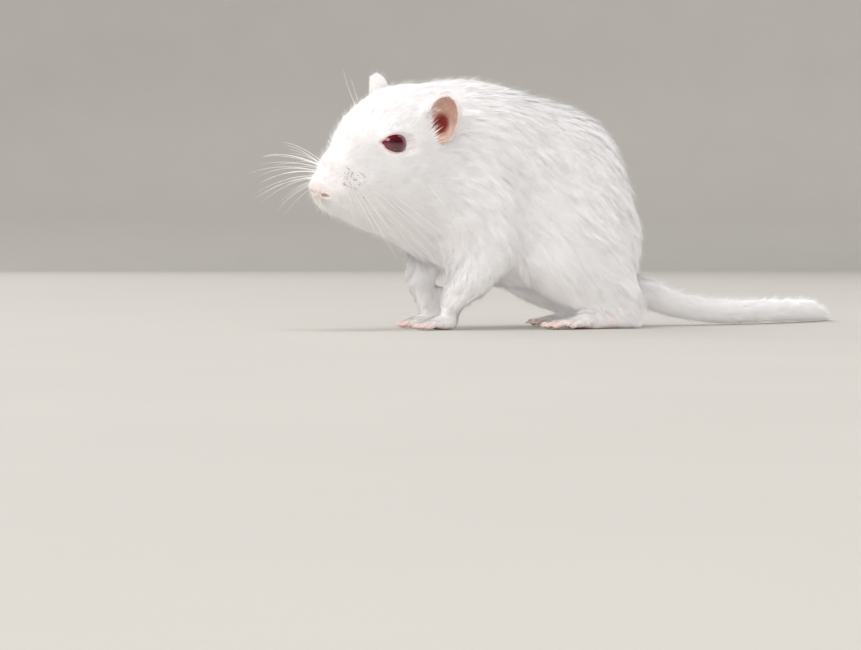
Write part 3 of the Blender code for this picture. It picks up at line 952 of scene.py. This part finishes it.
    def hair_width(self):
        on_head = ramp(self.fields.head[:, 1], 2, 22, 0.11, 0.15)
        widths = {"trunk": 0.17, "neck": 0.16, "tail": 0.14, "tail_root": 0.15, "ear": 0.09}
        widths |= {"head": on_head, "eye": on_head, "foreleg": 0.16, "hindleg": 0.17}
        return self.fields.by_node(widths, 0.13)

    def hair_density(self):
        """Locks to the square millimetre."""
        fields = self.fields
        on_head = ramp(fields.head[:, 1], 4, 22, 27, 25)
        values = {"trunk": 22, "neck": 25, "tail": 24, "tail_middle": 22, "foreleg": 26, "hindleg": 22}
        values = fields.by_node(values | {"head": on_head, "eye": on_head}, 40)
        # bare: inside the lids, the nose, the soles and the hollow of the ears
        away = fields.around_eye()
        values = values * ramp(away, 0.1, 0.25, 0, 1) * ramp(away, 0.3, 2.5, 1.5, 1)
        nose = reach_in(fields.head, (0, 0.8, -1.9), (1.5, 1.3, 0.9))
        values = values * ramp(nose, 0.9, 1.3, 0, 1)
        for sign in SIDES.values():
            values = values * ramp(nostril_distance(fields.head, sign), 0.45, 0.75, 0, 1)
        values[(self.points[:, 2] < 0.9) & (self.normals[:, 2] < -0.3)] = 0
        for kind, toes in (("fore", -6), ("hind", -19)):
            for side in SIDES:
                foot = inside(foot_frame(kind, side), self.points)
                thin = ramp(foot[:, 1], toes - 4.5, toes, 0.3, 1)
                values = np.where(fields.on(kind + "foot_" + side), values * thin, values)
        for side in SIDES:
            _, facing, cup, rim = ear_places(side, self.points, self.normals)
            on_ear = np.where(facing > 0.3, ramp(rim, 0.6, 0.95, 1.5, 36), 52)
            beside = values * ramp(cup, 0.85, 1.0, 0, 1)
            values = np.where(fields.on("ear_" + side), on_ear, beside)
        return values * bpy.context.scene.gerbil_coat.density

    def nearest(self, points):
        """The nearest place on the skin to each point, and the skin's direction outwards there."""
        found = [self.tree.find_nearest(point) for point in points.tolist()]
        places = np.array([hit[0] for hit in found])
        normals = self.normals[self.triangles[[hit[2] for hit in found]]].mean(axis=1)
        return places, unit(normals)


@functools.cache
def hide():
    """The survey of the skin, made once the skin is done."""
    return Hide()


def on_side(fields, sign):
    """Which points are on this side of the trunk's middle plane."""
    return (fields.points[:, 0] - source_shift().x) * sign > 0


def grow(name, chosen, seed, clump=0.55, stray=0.04, soft=True):
    """Grows one piece of the coat on the skin where chosen(fields) says, in overlapping locks. clump is
    how far the tips gather, and stray the share that stands off. Hair that isn't soft stands straight,
    and takes the light as it is shaped, as the fuzz of a thin ear does."""
    skin = hide()
    random = np.random.default_rng(seed)
    here = chosen(skin.fields)[skin.triangles].mean(axis=1) > 0.5
    share = skin.areas * skin.density[skin.triangles].mean(axis=1) * here
    count = int(share.sum())
    steps = (np.arange(count) + random.random(count)) / count * share.sum()
    pick = np.searchsorted(np.cumsum(share), steps)
    corners = skin.triangles[np.minimum(pick, len(share) - 1)]
    first, second = random.random(count), random.random(count)
    flip = first + second > 1
    first, second = np.where(flip, 1 - first, first), np.where(flip, 1 - second, second)
    weights = np.stack([1 - first - second, first, second], axis=1)

    def at(values):
        return np.einsum("ij,ij...->i...", weights, values[corners])

    roots, out, lie = at(skin.points), unit(at(skin.normals)), unit(at(skin.lie))
    depth, width = at(skin.depth), at(skin.width)
    length = at(skin.length) * random.uniform(0.75, 1.15, count)
    turn = random.normal(0, 0.16, count)
    lie = unit(lie + np.cross(out, lie) * turn[:, None])
    lift = np.maximum(depth * random.uniform(0.7, 1.0, count), length * random.uniform(0.12, 0.22, count))
    loose = random.random(count) < stray
    lift = np.where(loose, lift + random.uniform(0.3, 1.7, count), lift)
    if soft:
        # the tip lies over a place on the skin, which is found in two steps round its curve
        half = (length * 0.5)[:, None]
        halfway = skin.nearest(roots + lie * half)[0]
        tip_place, tip_out = skin.nearest(halfway + unit(halfway - roots) * half)
    else:
        tip_place, tip_out = roots + lie * length[:, None], out
    across_a_fold = (tip_out * out).sum(axis=1, keepdims=True) < -0.4
    tip_out = np.where(across_a_fold, out, unit(tip_out + out * 0.5))
    tips = tip_place + tip_out * lift[:, None]
    # locks gather towards their neighbours' tips, and each tuft has its own tone
    tufts = np.zeros(count)
    leaders = np.flatnonzero(random.random(count) < 0.03)
    if clump and len(leaders) > 2:
        tree = KDTree(len(leaders))
        for number, leader in enumerate(leaders):
            tree.insert(roots[leader], number)
        tree.balance()
        nearest = leaders[[tree.find(root)[1] for root in roots.tolist()]]
        pull = (clump * random.uniform(0.5, 1.3, count) * ~loose)[:, None]
        tufts = random.normal(0, 0.8 * clump, count)[nearest]
        carried = roots[nearest] + (tips[nearest] - roots[nearest]) * (length / length[nearest])[:, None]
        tips = tips + (carried - tips) * np.clip(pull, 0, 0.95)
    paths = np.stack([roots - out * 0.06, tips], axis=1)
    across = (width * random.uniform(0.75, 1.2, count) * np.where(loose, 0.6, 1))[:, None] * (1.0, 0.0)
    tilt = out + np.cross(lie, out) * random.normal(0, 0.2, count)[:, None]
    shade = np.clip(random.normal(0.35, 0.15, count) + tufts, 0, 1)
    facing = np.stack([out, tip_out], axis=1) if soft else None
    piece = strands(name, paths, across, across * 0.25, unit(tilt), 3, unwrapped(roots), shade, facing)
    return finished(piece, coat_material(), "fur")


# What the panel offers


def colour_setting(name, description, code):
    """A colour for the panel, whose default is an sRGB hex code."""
    return FloatVectorProperty(
        name=name, description=description, subtype="COLOR", default=linear(code)[:3]
    )


class StageSettings(bpy.types.PropertyGroup):
    floor_colour: colour_setting("Floor colour", "Colour of the plain floor", "#BDB9B2")
    light: FloatProperty(name="Light", description="Strength of the studio lights", default=1.0, min=0)
    distance: FloatProperty(
        name="Camera distance", description="From the camera to the animal", default=0.65, unit="LENGTH"
    )


class SkinSettings(bpy.types.PropertyGroup):
    covered_colour: colour_setting("Skin colour", "Skin under the coat", "#F9F5F3")


class FaceSettings(bpy.types.PropertyGroup):
    eye_colour: colour_setting("Eye colour", "Ruby of the eye", "#6E2234")
    whisker_length: FloatProperty(
        name="Whisker length", description="Length of the longest whisker", default=0.03, unit="LENGTH"
    )


class CoatSettings(bpy.types.PropertyGroup):
    length: FloatProperty(
        name="Hair length", description="Share of the natural length", default=1.0, min=0.1
    )
    density: FloatProperty(
        name="Density", description="Share of the natural number of hairs", default=1.0, min=0.01
    )
    # the root's colour is painted shade, a little darker than the tip's
    shaded_root_colour: colour_setting("Root colour", "Hair by the skin", "#F8F6F5")
    tip_colour: colour_setting("Tip colour", "Hair at the surface", "#FDFCFC")


# Making the pieces


class GERBIL_OT_stage(bpy.types.Operator):
    """Make the floor, the lights and the camera"""

    bl_idname = "gerbil.stage"
    bl_label = "Stage"

    def execute(self, context):
        settings = context.scene.gerbil_stage
        floor = bmesh.new()
        profile = [(0, 0), (600, 0), (2400, 0), (2750, 60), (2950, 260), (3000, 600)]
        verts = [floor.verts.new((reach, 0, height)) for reach, height in profile]
        rim = [floor.edges.new(pair) for pair in zip(verts, verts[1:])]
        bmesh.ops.spin(
            floor, geom=verts + rim, axis=(0, 0, 1), cent=(0, 0, 0),
            angle=math.tau, steps=96, use_merge=True,
        )
        bmesh.ops.remove_doubles(floor, verts=floor.verts[:], dist=0.01)
        bmesh.ops.recalc_face_normals(floor, faces=floor.faces[:])
        if floor.faces[0].normal.z < 0:
            bmesh.ops.reverse_faces(floor, faces=floor.faces[:])
        thing = from_bmesh("floor", floor)
        # painted plaster: matt, so that it gives no mirror of the animal
        material, tree, surface = shader("painted plaster floor")
        place = node(tree, "TexCoord")
        # cloudy brushing about 60 mm across
        links = [("Vector", place.outputs["Object"]), ("Scale", 16.0), ("Detail", 3.0)]
        cloud = node(tree, "TexNoise", links)
        colour = list(settings.floor_colour)
        tints = [("A_Color", colour + [1]), ("B_Color", [part * 0.94 for part in colour] + [1])]
        links = [("Factor_Float", cloud.outputs["Fac"]), *tints]
        brushed = node(tree, "Mix", links, data_type="RGBA")
        brushed = socket(brushed, "Result_Color", "outputs")
        feed(tree, surface, [("Base Color", brushed), ("Roughness", 0.8)])
        thing.data.materials.append(material)
        for name, place, size, watts, colour in (
            ("key", (0.25, -2.1, 1.65), (3.8, 1.0), 44.0, "#FFFFFF"),
            ("front fill", (2.1, -0.6, 0.9), (1.5, 1.5), 15.0, "#FFFFFF"),
            ("back fill", (0.7, 2.0, 1.5), (1.2, 1.2), 5.0, "#F8F9FF"),
            ("far fill", (-1.9, -0.4, 1.3), (1.4, 1.4), 18.0, "#FFFFFF"),
            ("overhead", (0.1, -0.1, 2.3), (1.6, 1.6), 24.0, "#FFFFFF"),
        ):
            self.light(name, place, size, watts * settings.light, colour)
        world = bpy.data.worlds.new("pale room")
        context.scene.world = world
        world.use_nodes = True
        sky = world.node_tree.nodes["Background"]
        sky.inputs["Color"].default_value = linear("#F2F2F3")
        sky.inputs["Strength"].default_value = 0.65
        world.cycles_visibility.glossy = False
        context.scene.view_settings.view_transform = "Standard"
        self.camera(context, settings.distance)
        return {"FINISHED"}

    def light(self, name, place, size, power, colour):
        data = bpy.data.lights.new(name, "AREA")
        data.shape = "RECTANGLE"
        data.size, data.size_y = size
        data.energy = power
        data.color = linear(colour)[:3]
        thing = new_object(name, data)
        thing.visible_glossy = name == "key"  # so that the eye has one highlight
        thing.location = place
        thing.rotation_euler = looking(LIGHTS_AIM - Vector(place))

    def camera(self, context, distance):
        data = bpy.data.cameras.new("camera")
        data.lens = LENS
        data.sensor_width = 36
        data.clip_start = 0.01
        data.clip_end = 20
        thing = new_object("camera", data)
        turn, rise = math.radians(CAMERA_TURN), math.radians(CAMERA_RISE)
        level = math.cos(rise)
        back = Vector((math.sin(turn) * level, -math.cos(turn) * level, math.sin(rise)))
        thing.location = CAMERA_AIM + back * distance
        thing.rotation_euler = looking(-back)
        context.scene.camera = thing


class GERBIL_OT_skin(bpy.types.Operator):
    """Make one skin from all the solids of flesh"""

    bl_idname = "gerbil.skin"
    bl_label = "Skin"

    def execute(self, context):
        make_skin()
        return {"FINISHED"}


class GERBIL_OT_eyes(bpy.types.Operator):
    """Make the eyeballs and the wet edges of the lids"""

    bl_idname = "gerbil.eyes"
    bl_label = "Eyes and lids"

    def execute(self, context):
        material = eye_material()
        # the thin edge of a lid: pink, and wet enough to catch the light
        lid_material, tree, surface = shader("wet lid")
        place = node(tree, "TexCoord")
        # creases about 0.4 mm apart
        links = [("Vector", place.outputs["Object"]), ("Scale", 2500.0), ("Detail", 2.0)]
        creases = node(tree, "TexNoise", links)
        tints = [("A_Color", linear("#DFB0B2")), ("B_Color", linear("#F0D0CE"))]
        links = [("Factor_Float", creases.outputs["Fac"]), *tints]
        flush = socket(node(tree, "Mix", links, data_type="RGBA"), "Result_Color", "outputs")
        feed(tree, surface, [("Base Color", flush), ("Roughness", 0.3)])
        for side in SIDES:
            ball = bmesh.new()
            bmesh.ops.create_uvsphere(ball, u_segments=64, v_segments=48, radius=EYE_RADIUS)
            for vertex in ball.verts:
                facing = vertex.co.z / EYE_RADIUS
                vertex.co *= 1 + 0.02 * max(0, facing) ** 4
            ball.transform(eye_frame(side))
            thing = from_bmesh("eyeball_" + side, ball)
            local = inside(eye_frame(side), points_of(thing.data))
            facing = local[:, 2] / np.linalg.norm(local, axis=1)
            add_values(thing.data, "facing", ((facing + 1) / 2).astype(np.float32))
            finished(thing, material, "eye", "eye_" + side)
            finished(self.lids(side), lid_material, "bare_skin")
        return {"FINISHED"}

    def lids(self, side):
        """The rim of both lids: a soft roll that lies on the eyeball and sinks into the skin."""
        # away from the opening, and out from the eyeball
        roll = [(0.25, -0.4), (0.02, 0.0), (-0.02, 0.08), (0.03, 0.16), (0.13, 0.21), (0.26, 0.2)]
        roll += [(0.42, 0.1), (0.6, -0.15), (0.5, -0.6)]
        round_eye, away = lid_border()
        turns = np.linspace(-math.pi, math.pi, 97)[:-1]
        border = np.interp(turns, round_eye, away, period=2 * math.pi)
        mesh = bmesh.new()
        for _ in roll:
            bmesh.ops.create_circle(mesh, segments=len(turns), radius=1)
        mesh.verts.ensure_lookup_table()
        mesh.edges.ensure_lookup_table()
        size = len(turns)
        for number, vertex in enumerate(mesh.verts):
            spread, height = roll[number // size]
            spot = number % size
            tilt = border[spot] + spread / EYE_RADIUS
            reach = EYE_RADIUS + height
            across, up = math.cos(turns[spot]), math.sin(turns[spot])
            vertex.co = (
                reach * math.sin(tilt) * across,
                reach * math.sin(tilt) * up,
                reach * math.cos(tilt),
            )
        hoops = [mesh.edges[start : start + size] for start in range(0, len(mesh.edges), size)]
        for first, second in zip(hoops, hoops[1:] + hoops[:1]):
            bmesh.ops.bridge_loops(mesh, edges=first + second)
        mesh.transform(eye_frame(side))
        bmesh.ops.recalc_face_normals(mesh, faces=mesh.faces[:])
        return from_bmesh("lids_" + side, mesh)


class GERBIL_OT_whiskers(bpy.types.Operator):
    """Make the whiskers of the muzzle and the brows"""

    bl_idname = "gerbil.whiskers"
    bl_label = "Whiskers"

    def execute(self, context):
        longest = context.scene.gerbil_face.whisker_length / MM
        random = np.random.default_rng(11)
        turn = np.array(turned_head().to_3x3())
        steps, stub_steps = np.linspace(0, 1, 10)[:, None], np.linspace(0, 1, 6)[:, None]
        paths, sizes, ups, stubs, stub_ups = [], [], [], [], []
        for side, sign in SIDES.items():
            for row in range(WHISKER_ROWS):
                for place in range(WHISKERS_IN_ROW):
                    back = 4.0 + place * 1.0 + row * 0.25 + random.normal(0, 0.2)
                    up = 4.9 - row * 1.05 - place * 0.12 + random.normal(0, 0.2)
                    root, out = self.rooted(sign * 6, back, up)
                    reach = longest * (0.3 + 0.7 * place / (WHISKERS_IN_ROW - 1)) * random.uniform(0.8, 1.0)
                    reach *= 0.7 + 0.3 * (row in (1, 2, 3))
                    # as the head turns, the left side's are laid back and the right side's held out
                    if side == "left":
                        way = np.array([0.3, 0.12 + 0.2 * place, -0.5 - 0.1 * row])
                        sag = np.array([-0.02, 0.25, -0.25])
                        reach *= random.uniform(0.75, 1.15)
                    else:
                        way = np.array([-1.0, -0.75 + 0.16 * place, 0.3 - 0.2 * row])
                        sag = np.array([0.1, 0.1, -0.22])
                        reach *= 1.1
                    way = way + random.normal(0, 0.06, 3)
                    way = unit(unit(way) @ turn.T + out * 0.25)
                    sag = sag @ turn.T
                    paths.append(root + way * reach * steps + sag * reach * steps**2 - out * 0.2)
                    sizes.append(0.15 * (1 - steps[:, 0]) ** 0.6 * (0.55 + 0.45 * reach / longest))
                    ups.append(out)
            # short grey stubs between the whiskers: painted shade, spots that stand for the shadow where the
            # fur parts round each whisker root
            for _ in range(STUBS):
                back, up = random.uniform(3.2, 9.2), random.uniform(-1, 1)
                root, out = self.rooted(sign * 6, back, 4.4 - 0.4 * (back - 3.6) + up * 2.4)
                way = unit(np.array([sign * 0.3, 0.4, -0.5]) @ turn.T + out * 1.1)
                stubs.append(root + way * random.uniform(0.6, 0.95) * stub_steps)
                stub_ups.append(out)
            for back, up, reach in BROW_WHISKERS:
                root, out = self.rooted(sign * 9, back, up)
                way = np.array([sign * 0.5, -0.25, 1.0 if up > 10 else -0.4])
                way = unit(way @ turn.T + out * 0.4)
                sag = np.array([sign * 0.1, 0.3, -0.1]) @ turn.T
                paths.append(root + way * reach * steps + sag * reach * steps**2)
                sizes.append(0.1 * (1 - steps[:, 0]) ** 0.7)
                ups.append(out)
        sizes, paths = np.array(sizes), np.array(paths)
        # past this width the left side's turn in along the cheek
        wide = np.maximum(paths[..., 0] - WIDE, 0)
        paths[..., 0] -= wide - 3 * np.tanh(wide / 6)
        piece = strands("whiskers", paths, sizes, sizes, np.array(ups), 5)
        # keratin without pigment: pale and glossy, with painted shade that makes it grey where it leaves the
        # skin
        finished(piece, plain_material("whisker", "#6E6064", "#F7F3EE", 0.35, 0.07), "fur")
        sizes = np.tile(0.17 * (1 - stub_steps[:, 0]) ** 0.5, (len(stubs), 1))
        piece = strands("follicles", np.array(stubs), sizes, sizes, np.array(stub_ups), 5)
        # painted shade: dull grey stubs that stand for the shadow round the whisker roots, so that they read
        # as rows of dots
        finished(piece, plain_material("follicle", "#7F7074", "#BDB3B5", 0.6), "fur")
        return {"FINISHED"}

    def rooted(self, *place):
        """The spot on the skin that is nearest to a place in head axes, and the way outwards there."""
        turn = np.array(turned_head().to_3x3())
        origin = np.array(head_frame().translation)
        root, out = hide().nearest(np.array([place]) @ turn.T + origin)
        return root[0], out[0]


class GERBIL_OT_claws(bpy.types.Operator):
    """Make the claws"""

    bl_idname = "gerbil.claws"
    bl_label = "Claws"

    def execute(self, context):
        paths, sizes = [], []
        steps = np.linspace(0, 1, 6)
        for side in SIDES:
            for kind, toes in TOES.items():
                matrix = foot_frame(kind, side)
                for place, start, reach, narrow, wide in toes:
                    root = Vector((place * narrow, start, 1.3))
                    tip = Vector((place * wide, -reach, 0.8))
                    along = (tip - root).normalized()
                    along = Vector((along.x, along.y, 0)).normalized()
                    points = []
                    for step in steps:
                        lift = 0.55 + 0.35 * math.sin(math.pi * min(1, step * 1.1)) - 0.75 * step**2
                        spot = tip + along * (0.15 + CLAW_LENGTH[kind] * step)
                        points.append(matrix @ (spot + Vector((0, 0, lift - 0.1))))
                    paths.append(np.array(points))
                    sizes.append(CLAW_WIDTH[kind] * (1 - steps**1.6) * 0.95 + 0.02)
        sizes = np.array(sizes)
        ups = np.tile((0.0, 0.0, 1.0), (len(paths), 1))
        piece = strands("claws", np.array(paths), sizes * 0.8, sizes, ups, 8)
        # thin clear horn: pink from the quick at its root, and ivory at its tip
        finished(piece, plain_material("horn claw", "#EBD2C9", "#E3DACE", 0.3), "bare_skin")
        return {"FINISHED"}


class GERBIL_OT_head_coat(bpy.types.Operator):
    """Grow the short coat of the head and the fuzz of the ears"""

    bl_idname = "gerbil.head_coat"
    bl_label = "Coat of the head"

    def execute(self, context):
        def face(fields):
            return fields.on("head", "eye") & (fields.head[:, 1] < 11)

        def cheek(fields):
            beside = fields.head[:, 0] * sign > 0
            return fields.on("head", "eye") & (fields.head[:, 1] >= 11) & beside

        grow("coat_muzzle", face, 1, clump=0.2, stray=0.12)
        for side, sign in SIDES.items():
            grow("coat_cheek_" + side, cheek, 2 + sign, clump=0.28, stray=0.06)
        grow("coat_ears", lambda fields: fields.on("ear"), 5, clump=0, soft=False)
        self.ear_fans()
        return {"FINISHED"}

    def ear_fans(self):
        """The longer hair that rises from the lower front rim of each ear, over its hollow."""
        random = np.random.default_rng(6)
        paths, sizes, ups = [], [], []
        for side, sign in SIDES.items():
            axes = np.array(ear_frame(side))
            for share in np.linspace(0, 1, 26):
                share = share + random.normal(0, 0.02)
                root = np.array((sign * (-3.6 + 2.6 * share), -1.5, -2.6 - 3.2 * share))
                way = np.array((sign * (0.25 + 0.5 * share), -0.3, 1.0 - 0.2 * share))
                way = unit(way + random.normal(0, 0.1, 3))
                reach = random.uniform(2.4, 4.4)
                steps = np.linspace(0, 1, 6)[:, None]
                path = root + way * reach * steps + np.array((sign * 0.5, 0.5, 0)) * steps**2
                paths.append(path @ axes[:3, :3].T + axes[:3, 3])
                sizes.append(0.16 * (1 - steps[:, 0]) ** 0.6)
                ups.append(-axes[:3, 1])
        paths, sizes = np.array(paths), np.array(sizes)
        shade = random.uniform(0, 0.4, len(paths))
        spots = unwrapped(paths[:, 0])
        piece = strands("coat_ear_fans", paths, sizes, sizes * 0.6, np.array(ups), 4, spots, shade)
        finished(piece, coat_material(), "fur")


class GERBIL_OT_body_coat(bpy.types.Operator):
    """Grow the long coat of the neck and the trunk"""

    bl_idname = "gerbil.body_coat"
    bl_label = "Coat of the body"

    def execute(self, context):
        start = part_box("trunk")[0].y / MM
        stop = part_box("trunk")[1].y / MM
        half = start + (stop - start) * 0.48

        def nape(fields):
            return fields.on("neck") & on_side(fields, sign)

        def shoulder(fields):
            return fields.on("trunk") & on_side(fields, sign) & (fields.points[:, 1] < half)

        def back(fields):
            return fields.on("trunk") & on_side(fields, sign) & (fields.points[:, 1] >= half)

        for side, sign in SIDES.items():
            grow("coat_neck_" + side, nape, 10 + sign)
            grow("coat_shoulder_" + side, shoulder, 20 + sign)
            grow("coat_back_" + side, back, 22 + sign)
        return {"FINISHED"}


class GERBIL_OT_leg_coat(bpy.types.Operator):
    """Grow the coat of the legs and the short hair of the feet"""

    bl_idname = "gerbil.leg_coat"
    bl_label = "Coat of the legs"

    def execute(self, context):
        for side, sign in SIDES.items():
            grow("coat_foreleg_" + side, lambda fields: fields.on("foreleg_" + side), 30 + sign)
            grow("coat_hindleg_" + side, lambda fields: fields.on("hindleg_" + side), 34 + sign)
            grow(
                "coat_feet_" + side,
                lambda fields: fields.on("forefoot_" + side, "hindfoot_" + side),
                38 + sign, clump=0.2,
            )
        return {"FINISHED"}


class GERBIL_OT_tail_coat(bpy.types.Operator):
    """Grow the coat of the tail and its brush"""

    bl_idname = "gerbil.tail_coat"
    bl_label = "Coat of the tail"

    def execute(self, context):
        grow("coat_tail", lambda fields: fields.on("tail"), 50, clump=0.4, stray=0.12)
        return {"FINISHED"}


class GERBIL_PT_panel(bpy.types.Panel):
    """Sizes, colours and makers of the gerbil"""

    bl_idname = "GERBIL_PT_panel"
    bl_label = "White gerbil"
    bl_space_type = "VIEW_3D"
    bl_region_type = "UI"
    bl_category = "Gerbil"

    def draw(self, context):
        for group in GROUPS:
            settings = getattr(context.scene, group)
            for name in settings.bl_rna.properties.keys():
                if name not in ("rna_type", "name"):
                    self.layout.prop(settings, name)
        for maker in MAKERS:
            self.layout.operator(maker.bl_idname)


GROUPS = {
    "gerbil_stage": StageSettings,
    "gerbil_skin": SkinSettings,
    "gerbil_face": FaceSettings,
    "gerbil_coat": CoatSettings,
}
MAKERS = [
    GERBIL_OT_stage,
    GERBIL_OT_skin,
    GERBIL_OT_eyes,
    GERBIL_OT_whiskers,
    GERBIL_OT_claws,
    GERBIL_OT_head_coat,
    GERBIL_OT_body_coat,
    GERBIL_OT_leg_coat,
    GERBIL_OT_tail_coat,
]


def register():
    for group, kind in GROUPS.items():
        bpy.utils.register_class(kind)
        setattr(bpy.types.Scene, group, PointerProperty(type=kind))
    for maker in MAKERS + [GERBIL_PT_panel]:
        bpy.utils.register_class(maker)


def unregister():
    for maker in reversed(MAKERS + [GERBIL_PT_panel]):
        bpy.utils.unregister_class(maker)
    for group, kind in reversed(GROUPS.items()):
        delattr(bpy.types.Scene, group)
        bpy.utils.unregister_class(kind)


def main():
    register()
    bpy.ops.gerbil.stage()
    bpy.ops.gerbil.skin()
    bpy.ops.gerbil.eyes()
    bpy.ops.gerbil.whiskers()
    bpy.ops.gerbil.claws()
    bpy.ops.gerbil.head_coat()
    bpy.ops.gerbil.body_coat()
    bpy.ops.gerbil.leg_coat()
    bpy.ops.gerbil.tail_coat()


if __name__ == "__main__":
    main()
